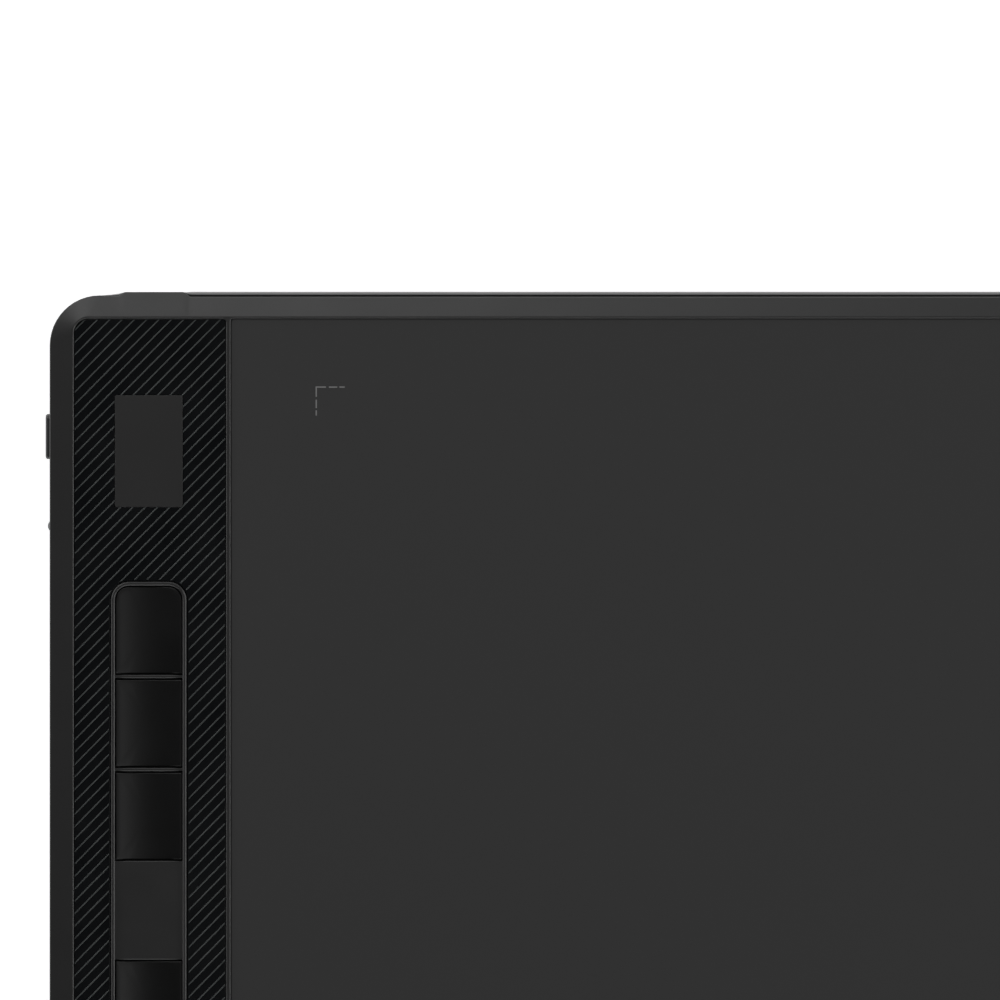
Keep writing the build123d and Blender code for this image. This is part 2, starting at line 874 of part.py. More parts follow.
def make_status_light_pipe():
    """The clear light pipe: a bevelled pin that steps out behind the wall and runs on to the lamp."""
    collar_radius = light_radius + light_collar
    collar_low = tray_wall + running_gap
    stem_end = main_board_from_left + running_gap - light_gap
    profile = Polyline(
        (-light_proud, 0), (-light_proud, light_radius - light_proud), (0, light_radius),
        (collar_low, light_radius), (collar_low, collar_radius),
        (stem_end, collar_radius), (stem_end, 0), close=True,
    )
    pipe = revolve(make_face(profile), Axis.X)
    return Pos(left, light_y, side_middle) * pipe


def make_status_led():
    """The small lamp behind the light pipe, on the edge of the main board."""
    low = main_left + running_gap
    half = led_length / 2
    return block(
        low, low + led_depth, light_y - half, light_y + half, main_board_top, main_board_top + led_height
    )


def chip(x, y, width, length, z, height):
    """A flat rectangular component standing on a board."""
    return block(x - width / 2, x + width / 2, y - length / 2, y + length / 2, z, z + height)


def make_board_chips():
    """The controller, the charger and the memory on the main board."""
    middle = (main_left + main_right) / 2
    places = [
        (middle + charger_size, lens_middle, controller_size, controller_size),
        (port_x, port_inner - chip_gap - charger_size / 2, charger_size, charger_size),
        (middle - memory_length / 2, main_front + memory_width, memory_width, memory_length),
    ]
    return Compound(children=[chip(*place, main_board_top, chip_height) for place in places])


def make_radio_module():
    """The wireless module, a small shielded box near the rear wall."""
    x = main_right - board_post_radius - post_clearance - radio_width / 2
    y = main_rear - 2 * (board_post_radius + post_clearance) - radio_length / 2
    return chip(x, y, radio_width, radio_length, main_board_top, radio_height)


def connector(x_low, x_high, y_low, y_high, z_low):
    """A low flat-cable connector standing on a board."""
    return block(x_low, x_high, y_low, y_high, z_low, z_low + connector_height)


def sensor_flex_limits():
    """Front and rear edge of the sensor board's flat cable."""
    front_edge = main_front + sensor_flex_width / 2
    return front_edge, front_edge + sensor_flex_width


def key_flex_limits():
    """Left and right edge of the key board's flat cable."""
    right_edge = key_board_right - 2 * connector_side
    return right_edge - key_flex_width, right_edge


def display_flex_limits():
    """Left and right edge of the display's flat cable."""
    left_edge = column_x - module_width / 2 + connector_side
    return left_edge, left_edge + display_flex_width


def display_connector_front():
    """Y where the display's flat cable enters its connector."""
    return lens_middle + module_length / 2 + 2 * connector_set_back


def lead_middle():
    """X of the middle of the battery lead where it reaches the main board."""
    return main_right - lead_from_right


def make_cable_connectors():
    """The sockets of the flat cables and of the battery lead, on the three boards."""
    back = connector_set_back + connector_depth
    sensor_edges = sensor_flex_limits()
    key_edges = key_flex_limits()
    display_edges = display_flex_limits()
    lead_half = lead_width / 2 + connector_side
    display_front = display_connector_front()
    sockets = [
        connector(
            main_right - back, main_right - connector_set_back,
            sensor_edges[0] - connector_side, sensor_edges[1] + connector_side, main_board_top,
        ),
        connector(
            sensor_left + connector_set_back, sensor_left + back,
            sensor_edges[0] - connector_side, sensor_edges[1] + connector_side,
            sensor_low - connector_height,
        ),
        connector(
            key_edges[0] - connector_side, key_edges[1] + connector_side,
            key_board_rear - back, key_board_rear - connector_set_back, key_board_top,
        ),
        connector(
            key_edges[0] - connector_side, key_edges[1] + connector_side,
            main_front + connector_set_back, main_front + back, main_board_top,
        ),
        connector(
            display_edges[0] - connector_side, display_edges[1] + connector_side,
            display_front, display_front + connector_depth, main_board_top,
        ),
        connector(
            lead_middle() - lead_half, lead_middle() + lead_half,
            main_front + connector_set_back, main_front + back, main_board_top,
        ),
    ]
    return Compound(children=sockets)


def ribbon_profile(points, bend):
    """The edge view of a flat cable: a line with rounded bends, given the cable's thickness."""
    return trace(FilletPolyline(*points, radius=bend), flex_thickness)


def make_sensor_flex():
    """The flat cable from under the sensor board to its connector on the main board."""
    y_low, y_high = sensor_flex_limits()
    high = sensor_low - connector_height / 2
    low = main_board_top + connector_height / 2
    start, end = sensor_left + connector_set_back, main_right - connector_set_back
    middle, half_bend = (start + end) / 2, connector_depth / 2
    points = [(start, high), (middle + half_bend, high), (middle - half_bend, low), (end, low)]
    section = Plane.XZ * ribbon_profile(points, half_bend)
    return Pos(0, y_low, 0) * extrude(section, amount=y_high - y_low, dir=(0, 1, 0))


def make_key_flex():
    """The flat cable from the key board to the main board."""
    x_low, x_high = key_flex_limits()
    low = key_board_top + connector_height / 2
    high = main_board_top + connector_height / 2
    start, end = key_board_rear - connector_set_back, main_front + connector_set_back
    middle, half_bend = (start + end) / 2, (end - start) / 4
    points = [(start, low), (middle - half_bend, low), (middle + half_bend, high), (end, high)]
    section = Plane.YZ * ribbon_profile(points, half_bend)
    return Pos(x_low, 0, 0) * extrude(section, amount=x_high - x_low, dir=(1, 0, 0))


def make_display_flex():
    """The flat cable from the end of the display module down to the main board."""
    x_low, x_high = display_flex_limits()
    high = module_low + module_thickness / 4
    low = main_board_top + connector_height / 2
    start, end = lens_middle + module_length / 2, display_connector_front()
    middle, half_bend = (start + end) / 2, (end - start) / 4
    points = [(start, high), (middle - half_bend, high), (middle + half_bend, low), (end, low)]
    section = Plane.YZ * ribbon_profile(points, half_bend)
    return Pos(x_low, 0, 0) * extrude(section, amount=x_high - x_low, dir=(1, 0, 0))


def make_sensor_board():
    """The wide board of fine loops that senses the pen, stuck to the underside of the plate."""
    return block(sensor_left, sensor_right, sensor_front, sensor_rear, sensor_low, sensor_top)


def make_shield_plate():
    """The thin steel sheet behind the sensor board, short of its connector."""
    return block(
        sensor_left + sensor_bare, sensor_right, sensor_front, sensor_rear, shield_low, shield_top
    )


def make_battery():
    """The flat pouch cell with softened edges."""
    x, y = battery_middle()
    cell = chip(x, y, battery_width, battery_length, battery_low, battery_top - battery_low)
    return chamfer(cell.edges(), battery_chamfer)


def make_battery_tape():
    """The double-sided tape that holds the cell to the floor."""
    x, y = battery_middle()
    width, length = battery_width - 2 * battery_tape_inset, battery_length - 2 * battery_tape_inset
    return chip(x, y, width, length, floor_top, battery_tape)


def lead_start_y():
    """Y where the lead leaves the side of the battery."""
    return battery_middle()[1] + battery_length / 4


def make_battery_lead():
    """The flat two-core lead from the battery's side to its connector on the main board."""
    middle = main_board_top + connector_height / 2
    points = [
        (battery_middle()[0] - battery_width / 2, lead_start_y()),
        (lead_middle(), lead_start_y()),
        (lead_middle(), main_front + connector_set_back),
    ]
    flat = trace(FilletPolyline(*points, radius=lead_bend), lead_width)
    return extrude(Pos(0, 0, middle - lead_height / 2) * flat, amount=lead_height)


def export(node, shape):
    """Writes one sub-part to parts/NODE.step."""
    export_step(shape, f"parts/{node}.step")


def main():
    os.makedirs("parts", exist_ok=True)
    export("top_cover", make_top_cover())
    export("bottom_cover", make_bottom_cover())
    export("drawing_sheet", make_drawing_sheet())
    export("striped_panel", make_striped_panel())
    export("key_frame", make_key_frame())
    for number, cell in enumerate(key_cells(), start=1):
        export(f"press_key_{number}", make_press_key(cell))
        export(f"key_plunger_{number}", make_key_plunger(cell))
    export("key_switches", make_key_switches())
    export("key_board", make_key_board())
    export("main_board", make_main_board())
    export("board_screws", make_board_screws())
    export("case_screws", make_case_screws())
    export("display_lens", make_display_lens())
    export("display_module", make_display_module())
    export("display_gasket", make_display_gasket())
    export("usb_port_shell", make_port_shell())
    export("usb_port_tongue", make_port_tongue())
    export("power_key", make_power_key())
    export("power_switch", make_power_switch())
    export("power_plunger", make_power_plunger())
    export("status_light_pipe", make_status_light_pipe())
    export("status_led", make_status_led())
    export("board_chips", make_board_chips())
    export("radio_module", make_radio_module())
    export("cable_connectors", make_cable_connectors())
    export("sensor_flex", make_sensor_flex())
    export("key_flex", make_key_flex())
    export("display_flex", make_display_flex())
    export("sensor_board", make_sensor_board())
    export("shield_plate", make_shield_plate())
    export("battery", make_battery())
    export("battery_tape", make_battery_tape())
    export("battery_lead", make_battery_lead())
    for number, (x, y) in enumerate(foot_places(), start=1):
        export(f"rubber_foot_{number}", make_foot(x, y))


main()
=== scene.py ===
# %% [markdown]
# # Dressing a pen tablet for its photograph
#
# The tablet lies flat on a pale table and is looked at from straight above. The engineering model is already
# there: it gives every part's place and size. This lesson puts finer skins over the parts that show, and
# gives each part, seen or not, the finish of what it is made of. Everything below is in the same frame:
# X to the right, Y to the rear, Z up, with the origin under the middle of the case.

# %% Load the frame
import json
import math

import bmesh
import bpy
import numpy as np
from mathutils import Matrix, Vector
from mathutils.geometry import tessellate_polygon


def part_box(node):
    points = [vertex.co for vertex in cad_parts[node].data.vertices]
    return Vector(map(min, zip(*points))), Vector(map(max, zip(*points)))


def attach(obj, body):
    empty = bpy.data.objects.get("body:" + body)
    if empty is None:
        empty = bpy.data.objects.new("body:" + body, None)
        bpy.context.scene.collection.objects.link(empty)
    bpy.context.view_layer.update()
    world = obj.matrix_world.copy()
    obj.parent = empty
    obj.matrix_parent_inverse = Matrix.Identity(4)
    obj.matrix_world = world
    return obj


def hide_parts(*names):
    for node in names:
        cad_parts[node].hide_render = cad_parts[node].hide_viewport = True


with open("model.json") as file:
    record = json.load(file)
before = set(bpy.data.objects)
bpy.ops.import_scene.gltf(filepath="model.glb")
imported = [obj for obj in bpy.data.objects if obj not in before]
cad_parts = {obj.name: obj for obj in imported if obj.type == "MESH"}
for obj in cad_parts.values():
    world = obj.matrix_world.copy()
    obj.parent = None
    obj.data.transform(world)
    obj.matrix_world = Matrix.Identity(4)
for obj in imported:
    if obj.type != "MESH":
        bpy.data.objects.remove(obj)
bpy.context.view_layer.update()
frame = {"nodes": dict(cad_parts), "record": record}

nodes = frame["nodes"]

# %% [markdown]
# ## Measures
#
# The model's boxes are in metres. Moulded parts are easier to think about in millimetres, so the skins are
# worked out in millimetres and turned to metres in one place, where a mesh is made.

# %% Read a part's box in millimetres
mm = 0.001


def limits(node):
    """A part's lowest and highest corner in millimetres, as one row of lows and one row of highs."""
    low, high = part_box(node)
    return np.array([low, high]) / mm


def middle_of(node):
    """The middle of a part's box in millimetres."""
    return sum(limits(node)) / 2


case_low, case_high = limits("top_cover")
left, right = case_low[0], case_high[0]
front = case_low[1]
rear = -front
case_height = case_high[2]
print("case", left, right, front, rear, case_height)

# %% [markdown]
# ## The camera
#
# A product photograph like this one is taken with a long lens from far above, so that upright walls hardly
# show. The camera looks straight down on the rear left corner. Its distance follows from the lens: a frame of
# 36 mm behind a 400 mm lens sees a field 36/400 of the distance wide.

# %% Camera above the rear left corner
lens_length = 400.0
sensor_width = 36.0
view_width = 207.5
view_x = -116.5
view_y = 85.0
view_height = case_height + view_width * lens_length / sensor_width

camera_data = bpy.data.cameras.new("camera")
camera_data.lens = lens_length
camera_data.sensor_width = sensor_width
camera_data.clip_end = 40.0
camera = bpy.data.objects.new("camera", camera_data)
camera.location = Vector((view_x, view_y, view_height)) * mm
bpy.context.scene.collection.objects.link(camera)
bpy.context.scene.camera = camera
bpy.context.scene.view_settings.view_transform = "Standard"
print("camera height", round(view_height), "mm")

# %% [markdown]
# ## The table and the light
#
# The table is white and so evenly lit that it has no shadows. A white board that glows a little on its own
# does that, and it also throws light up into the undercut of the case, as a light table does. The dark
# plastic is lit by a soft box behind the left corner, which is what the rear bezel mirrors: being small, it
# makes the bezel's tone fall off to the right. A second one, in front and to the right, gives the flat parts
# their tone and one side of each dished key its light. Four long, low ones, one on each side, are there for
# the edges alone: a flat face hardly sees them, while a rounded edge mirrors them as a thin bright line. The
# room itself is dark, or the glossy black strip would look grey.

# %% Table, soft boxes and room
lit_spot = (-0.10, 0.05, 0)
table_size = 20.0
table_glow = 0.8
room_light = 0.01
long_box = (1.60, 0.32)
soft_boxes = {
    "rear_box": ((-0.34, 0.65, 0.74), (0.66, 0.38), 1.95),
    "front_box": ((0.27, -0.20, 0.95), (0.66, 0.60), 1.27),
    "left_edge_box": ((-1.05, 0.55, 0.18), long_box, 5.0),
    "right_edge_box": ((0.90, 0.05, 0.18), long_box, 6.0),
    "front_edge_box": ((-0.10, -0.95, 0.18), long_box, 4.6),
    "rear_edge_box": ((-0.10, 1.05, 0.18), long_box, 2.0),
}


def shader_nodes(name):
    """A new material with an empty Principled shader, and its tree."""
    material = bpy.data.materials.new(name)
    material.use_nodes = True
    return material, material.node_tree, material.node_tree.nodes["Principled BSDF"]


def lit_table():
    """A square sheet on the table plane, white and glowing a little."""
    half = table_size / 2
    mesh = bpy.data.meshes.new("table")
    corners = [(-half, -half, 0), (half, -half, 0), (half, half, 0), (-half, half, 0)]
    mesh.from_pydata(corners, [], [(0, 1, 2, 3)])
    table = bpy.data.objects.new("table", mesh)
    bpy.context.scene.collection.objects.link(table)
    material, tree, shader = shader_nodes("table_white")
    shader.inputs["Base Color"].default_value = (0.86, 0.86, 0.86, 1)
    shader.inputs["Roughness"].default_value = 0.9
    shader.inputs["Emission Color"].default_value = (1, 1, 1, 1)
    shader.inputs["Emission Strength"].default_value = table_glow
    mesh.materials.append(material)
    return table


def soft_box(name, place, size, power):
    """A rectangular area light that faces the tablet's left half."""
    data = bpy.data.lights.new(name, "AREA")
    data.shape = "RECTANGLE"
    data.size, data.size_y = size
    data.energy = power
    light = bpy.data.objects.new(name, data)
    light.location = place
    aim = Vector(lit_spot) - light.location
    light.rotation_euler = aim.to_track_quat("-Z", "Y").to_euler()
    light.visible_camera = False
    bpy.context.scene.collection.objects.link(light)
    return light


lit_table()
for name, (place, size, power) in soft_boxes.items():
    soft_box(name, place, size, power)
world = bpy.data.worlds.new("room")
world.use_nodes = True
world.node_tree.nodes["Background"].inputs["Color"].default_value = (1, 1, 1, 1)
world.node_tree.nodes["Background"].inputs["Strength"].default_value = room_light
bpy.context.scene.world = world
print("soft boxes", list(soft_boxes))

# %% [markdown]
# ## Finishes
#
# Nothing moulded is one flat colour. A steel mould is spark-eroded or polished, and the part copies its
# grain. So each finish has three layers, all read from the part's own coordinates in metres: a fine grain
# that tilts the surface (bump), a slow cloud that makes the gloss uneven, and a faint change of colour. Only
# the sizes and amounts differ from one material to the next. The ribbed strip and the boards need something
# more, which is added where they are made.

# %% A finish from grain, gloss and colour
gloss_patch = 40
noise_low, noise_high = 0.3, 0.7
finishes = {}


def wire(tree, kind, **values):
    """A new shader node with its settings and inputs given by name."""
    node = tree.nodes.new(kind)
    for key, value in values.items():
        if hasattr(node, key):
            setattr(node, key, value)
        else:
            node.inputs[key.replace("_", " ")].default_value = value
    return node


def cloud(tree, place, size, detail=3.0):
    """Noise whose blobs are about size metres across."""
    noise = wire(tree, "ShaderNodeTexNoise", Scale=1 / size, Detail=detail)
    tree.links.new(place, noise.inputs["Vector"])
    return noise.outputs["Fac"]


def spread(tree, value, low, high):
    """Stretches the middle of a noise value over low to high."""
    wanted = dict(From_Min=noise_low, From_Max=noise_high, To_Min=low, To_Max=high)
    span = wire(tree, "ShaderNodeMapRange", **wanted)
    tree.links.new(value, span.inputs["Value"])
    return span.outputs["Result"]


def roughen(tree, shader, height, depth):
    """Tilts the surface as if it stood up by depth metres wherever height is 1."""
    bump = wire(tree, "ShaderNodeBump", Strength=1.0, Distance=depth)
    tree.links.new(height, bump.inputs["Height"])
    tree.links.new(bump.outputs["Normal"], shader.inputs["Normal"])


def blend(tree, share, first, second):
    """A colour that goes from first to second as share goes from 0 to 1; either may come from another node."""
    mix = tree.nodes.new("ShaderNodeMix")
    mix.data_type = "RGBA"
    for side, color in (("A", first), ("B", second)):
        if isinstance(color, bpy.types.NodeSocket):
            tree.links.new(color, mix.inputs[side])
        else:
            mix.inputs[side].default_value = (*color, 1)
    tree.links.new(share, mix.inputs["Factor"])
    return mix.outputs["Result"]


def finish(slot, color, gloss, grain, depth, mottle=0.06, drawn=None, metal=0.0):
    """A procedural material, kept in finishes under the name of its slot.

    gloss is the lowest and highest roughness, grain the size of the surface grain and depth its height, both
    in metres. mottle is how far the colour wanders. drawn stretches the grain along one axis, as on rolled or
    brushed metal, by a factor for each axis. The gloss wanders over patches many grains wide.
    """
    finishes[slot], tree, shader = shader_nodes(slot + "_finish")
    along = tree.nodes.new("ShaderNodeTexCoord").outputs["Object"]
    if drawn:
        stretch = wire(tree, "ShaderNodeMapping", Scale=drawn)
        tree.links.new(along, stretch.inputs["Vector"])
        along = stretch.outputs["Vector"]
    fine = cloud(tree, along, grain, detail=2.0)
    slow = cloud(tree, along, grain * gloss_patch)
    roughen(tree, shader, fine, depth)
    tree.links.new(spread(tree, slow, *gloss), shader.inputs["Roughness"])
    darker = [channel * (1 - mottle) for channel in color]
    lighter = [min(channel * (1 + mottle), 1.0) for channel in color]
    tree.links.new(blend(tree, spread(tree, fine, 0, 1), darker, lighter), shader.inputs["Base Color"])
    shader.inputs["Metallic"].default_value = metal


finish("case_plastic", (0.032, 0.032, 0.032), (0.34, 0.37), 0.00025, 0.000004)
print("first finish", *finishes)

# %% [markdown]
# ## Outlines
#
# Nearly every part here is a rounded rectangle pulled up into a wall: the case, the sheet, the keys, the
# feet. So the first tool draws such an outline, as a row of points that runs round it. Stops are extra points
# on a straight side, for a side that has to bend or to carry detail. A hair is a thousandth of a millimetre,
# used wherever two places are compared.

# %% A rounded rectangle as a row of points
corner_steps = 12
hair = 0.001
tight_corner = 0.05


def outline(x_low, x_high, y_low, y_high, radii, rear_stops=(), front_stops=(), steps=corner_steps):
    """A closed line of x and y: four quarter circles joined by straight sides.

    It starts at the front left and runs anticlockwise, seen from above. Each quarter circle is its centre
    plus the radius times the cosine and sine of an angle that grows by a right angle. radii go with the
    front left, front right, rear right and rear left corners.
    """
    turn = np.linspace(0, np.pi / 2, steps + 1)
    corners = [(x_low, y_low, 1, 1), (x_high, y_low, -1, 1), (x_high, y_high, -1, -1), (x_low, y_high, 1, -1)]
    rows = []
    for quarter, ((x, y, inward_x, inward_y), radius) in enumerate(zip(corners, radii)):
        angle = turn + np.pi + quarter * np.pi / 2
        across = x + inward_x * radius + radius * np.cos(angle)
        along = y + inward_y * radius + radius * np.sin(angle)
        rows.append(np.stack([across, along], axis=1))
        stops = {0: np.sort(front_stops), 2: np.sort(rear_stops)[::-1]}.get(quarter, ())
        rows.append(np.stack([stops, np.full(len(stops), y)], axis=1))
    return np.concatenate(rows)


def lift(line, height):
    """Gives a flat line its height, as a third column."""
    return np.column_stack([line, np.full(len(line), height)])


def round_line(middle_x, middle_y, radius, count=32):
    """A circle of count points: the middle plus the radius times cosine and sine."""
    angle = np.arange(count) * 2 * np.pi / count
    return np.stack([middle_x + radius * np.cos(angle), middle_y + radius * np.sin(angle)], axis=1)


def around(node, inset, radii, shrink=0.0, steps=corner_steps):
    """The outline of a part's box, made smaller by shrink and then drawn in by inset with its corners."""
    low, high = limits(node)
    reach = shrink + inset
    radii = [max(radius - inset, tight_corner) for radius in radii]
    return outline(low[0] + reach, high[0] - reach, low[1] + reach, high[1] - reach, radii, steps=steps)


print("points in an outline", len(outline(0, 2, 0, 1, (0.2,) * 4)))

# %% [markdown]
# ## Walls, floors and soft edges
#
# Outlines stacked on one another make a wall, and a filled outline makes a floor or a top, with holes where
# other outlines lie inside it. No moulded edge is sharp, and the thin bright line that an edge catches is most
# of what the eye reads as a real part, so a wall's profile has its corners rounded before the wall is made.

# %% Stack outlines into walls


def band(rings, ring=False):
    """Quads between each outline and the next: points j and j + 1 of one join the same points of the next.

    With ring, the last outline is joined to the first as well.
    """
    rings = np.asarray(rings)
    index = np.arange(rings.size // 3).reshape(rings.shape[:2])
    if ring:
        index = np.vstack([index, index[:1]])
    ahead = np.roll(index, -1, axis=1)
    quads = np.stack([index[:-1], ahead[:-1], ahead[1:], index[1:]], axis=-1)
    return rings.reshape(-1, 3), quads.reshape(-1, 4)


def fill(*loops):
    """Triangles over the flat area inside the first outline and outside all the others."""
    triangles = tessellate_polygon([[Vector(point) for point in loop] for loop in loops])
    return np.concatenate(loops), np.array(triangles)


def stack(line, profile):
    """Outlines at the heights of a profile of inset and height, where line draws the outline for an inset."""
    return [lift(line(inset), height) for inset, height in profile]


def closed(rings):
    """The wall through all the rings, with a flat face on its first and its last."""
    return [band(rings), fill(rings[0]), fill(rings[-1])]


def soften(profile, radii, steps=5):
    """Rounds each inner corner of a line with an arc that touches both of its sides.

    The arc's centre lies on the corner's bisector, at the radius over the sine of half the corner's angle.
    The arc turns evenly from one touching point to the other.
    """
    profile = np.asarray(profile, float)
    share = np.linspace(0, 1, steps + 1)[:, None]
    rows = [profile[:1]]
    for before, corner, after, radius in zip(profile[:-2], profile[1:-1], profile[2:], radii):
        if radius <= 0:
            rows.append(corner[None])
            continue
        back, ahead = (side / np.linalg.norm(side) for side in (before - corner, after - corner))
        half = np.arccos(np.clip(back @ ahead, -1, 1)) / 2
        bisector = (back + ahead) / np.linalg.norm(back + ahead)
        centre = corner + bisector * radius / np.sin(half)
        first = corner + back * radius / np.tan(half) - centre
        last = corner + ahead * radius / np.tan(half) - centre
        sweep = np.pi - 2 * half
        arc = (np.sin((1 - share) * sweep) * first + np.sin(share * sweep) * last) / np.sin(sweep)
        rows.append(centre + arc)
    rows.append(profile[-1:])
    return np.concatenate(rows)


weld_distance = 0.0001 * mm
sharp_angle = math.radians(40)


def make_mesh(name, surfaces):
    """One mesh in metres from surfaces in millimetres, with shared edges and faces that look outwards."""
    points, faces = [], []
    for places, corners in surfaces:
        faces += (corners + len(points)).tolist()
        points += (places * mm).tolist()
    mesh = bpy.data.meshes.new(name)
    mesh.from_pydata(points, [], faces)
    shape = bmesh.new()
    shape.from_mesh(mesh)
    bmesh.ops.remove_doubles(shape, verts=shape.verts, dist=weld_distance)
    bmesh.ops.recalc_face_normals(shape, faces=shape.faces)
    shape.to_mesh(mesh)
    shape.free()
    return mesh


def place_piece(name, skin, slot, look=None, body="case", stands_for=()):
    """Puts a mesh or its surfaces in the scene with its finish, on its body and in place of its plain part."""
    mesh = make_mesh(name, skin) if isinstance(skin, list) else skin
    mesh.shade_smooth()
    mesh.set_sharp_from_angle(angle=sharp_angle)
    mesh.materials.clear()
    mesh.materials.append(finishes[look or slot])
    piece = bpy.data.objects.new(name, mesh)
    bpy.context.scene.collection.objects.link(piece)
    even = piece.modifiers.new("flat faces lead", "WEIGHTED_NORMAL")
    even.keep_sharp = True
    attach(piece, body)
    if stands_for:
        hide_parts(*stands_for)
    size = np.array([corner[:] for corner in piece.bound_box])
    print(name, "faces", len(mesh.polygons), "size mm", np.round(np.ptp(size, axis=0) / mm, 2))
    return piece


print("edges sharper than", round(math.degrees(sharp_angle)), "degrees stay crisp")

# %% [markdown]
# ## The top cover
#
# The top cover is one moulding. Seen from outside it is a short upright skirt, a bezel that slopes up to a
# thin flat lip, and two shallow recesses with a narrow rib between them: one for the ribbed strip and one for
# the sheet. Its profile is drawn as a line of inset and height, and carried round the case's outline. Along
# the rear the bezel is a little narrower, and at the port the wall swells outwards.

# %% Sizes of the case
corner_radius = 10.4
bezel = 5.0
bezel_start = 0.3
bezel_drop = 1.0
bezel_foot = case_height - bezel_drop
rear_bezel_less = 0.2
lip_inset = 4.6
lip_corner = 3.5
recess_corner = 3.1
panel_gap = 0.2
skirt_wall = 1.2
skirt_bottom = 6.4
plate_under = 7.0
strip_floor = limits("striped_panel")[0][2]
sheet_floor = limits("drawing_sheet")[0][2]
divider_left = limits("striped_panel")[1][0] + panel_gap
divider_right = limits("drawing_sheet")[0][0] - panel_gap
port_x, port_z = middle_of("usb_port_shell")[[0, 2]]
swell_flat = 12.6
swell_run = 1.0
swell_out = 0.7
swell_soft = 0.35
half_flat = swell_flat / 2
corner_reach = 9.5
corner_fade = 9.0
tuck = 0.31
ramp_stops = np.linspace(half_flat - swell_soft, half_flat + swell_run + swell_soft, 9)
fade_stops = np.linspace(left + corner_radius + 0.1, left + corner_reach + corner_fade, 5)
rear_stops = np.concatenate([fade_stops, port_x - ramp_stops, port_x + ramp_stops, -fade_stops])
print("port middle", port_x, "strip floor", strip_floor, "sheet floor", sheet_floor)


def ease(run):
    """A ramp held between 0 and 1 with both bends softened: three times its square minus twice its cube."""
    run = np.clip(run, 0, 1)
    return run * run * (3 - 2 * run)


def swell(x):
    """How far the port's swelling has risen at x, from 0 to 1."""
    return ease((half_flat + swell_run + swell_soft - np.abs(x - port_x)) / (swell_run + 2 * swell_soft))


def away_from_corners(x):
    """How far x is from the case's corners, from 0 near a corner to 1 along the side."""
    return ease((right - corner_reach - np.abs(x)) / corner_fade)


inset_places = [0, bezel_start, lip_inset, bezel]
inset_radii = [corner_radius, corner_radius - bezel_start, lip_corner, recess_corner]


def case_ring(inset, height, strict=False, out=0.0, drop=0.0, flare=-tuck):
    """The case's outline at an inset and a height.

    The bezel's inner corners are tighter than its width alone would make them, unless strict is set. out is
    how far the rear side follows the port's swelling, drop how far it sinks with it, and flare how far the
    rest of the rear side stands out between the corners. The top cover is tucked in there by a third of a
    millimetre, which leaves a dark line between it and the tray.
    """
    radius = corner_radius - inset
    end_inset = inset
    if not strict:
        radius = np.interp(inset, inset_places, inset_radii)
        end_inset = inset - np.clip((inset - bezel_start) / (bezel - bezel_start), 0, 1) * rear_bezel_less
    line = outline(
        left + inset, right - inset, front + end_inset, rear - end_inset, (radius,) * 4, rear_stops
    )
    ring = lift(line, height)
    at_rear = ring[:, 1] > rear - end_inset - hair
    rise = swell(ring[:, 0]) * at_rear
    along = away_from_corners(ring[:, 0]) * at_rear * (1 - rise)
    ring[:, 1] += out * rise + flare * along
    ring[:, 2] -= drop * rise
    return ring


# %% [markdown]
# The profile starts inside, under the plate, goes down and round the foot of the skirt, and climbs to the lip.
# The swelling and the tuck of the rear side are full on the upright wall and fade out up the bezel. Where the
# wall swells, the bezel's edge sinks along its own slope, so the bezel stays one plane.

# %% The bezel's profile
slope = bezel_drop / (lip_inset - bezel_start)
edge_radius = 0.32
lip_radius = 0.6
lip_flat = 0.2
foot_chamfer = 0.08
wall_zone = 0.5
crown_corners = [
    (0, skirt_bottom + foot_chamfer), (0, bezel_foot - bezel_start * slope), (lip_inset, case_height),
    (lip_inset + lip_flat, case_height),
]
crown = soften(crown_corners, [edge_radius, lip_radius])
skirt = np.array([(skirt_wall, plate_under), (skirt_wall, skirt_bottom), (foot_chamfer, skirt_bottom)])
outside = [case_ring(inset, height, strict=True, flare=0.0) for inset, height in skirt[:2]]
outside.append(case_ring(skirt[2][0], skirt[2][1], out=swell_out))
for inset, height in crown:
    near = np.clip(1 - inset / lip_inset, 0, 1)
    share = 1.0 if inset < wall_zone else near
    sinks = height > skirt_bottom + wall_zone
    out = swell_out * share
    outside.append(case_ring(inset, height, out=out, drop=out * slope if sinks else 0.0, flare=-tuck * share))
print("bezel slopes", round(math.degrees(math.atan(slope)), 1), "degrees, rings", len(outside))

# %% [markdown]
# The recesses go down from the lip. Each begins with a small bevel, because a bevel mirrors a low light at the
# side over its whole width and a rounding only along a thin line. Then it falls straight to its floor, and the
# strip's floor has two holes, for the display and for the keys. The same outlines close the underside of the
# plate, so the cover is a real shell with a thickness everywhere. Screw posts hang from the plate.

# %% Recesses, floors and openings of the top cover
recess_edge = 0.13
recess_corners = [(2 * recess_edge, case_height), (0, case_height), (0, case_height - 1)]
recess_profile = soften(recess_corners, [recess_edge], steps=1)[1:-1]
recess_y = rear - bezel + rear_bezel_less


def recess_wall(x_low, x_high, radii, floor):
    """Rings from the lip's bevelled edge down to a recess floor."""

    def line(outset):
        """The recess's outline, widened by outset."""
        y = recess_y + outset
        return outline(x_low - outset, x_high + outset, -y, y, [radius + outset for radius in radii])

    return stack(line, [*recess_profile, (0, floor)])


slot_corner = 3.9
slot_flange = 1.4
slot_gap = 0.08
window_corner = 0.25
window_ledge = 1.2


def slot_line(inset):
    """The key frame's rounded outline, drawn in by inset."""
    return around("key_frame", inset, (slot_corner,) * 4, shrink=slot_flange)


def window_line(inset):
    """The display window's outline, drawn in by inset."""
    return around("display_lens", inset, (window_corner,) * 4, steps=3)


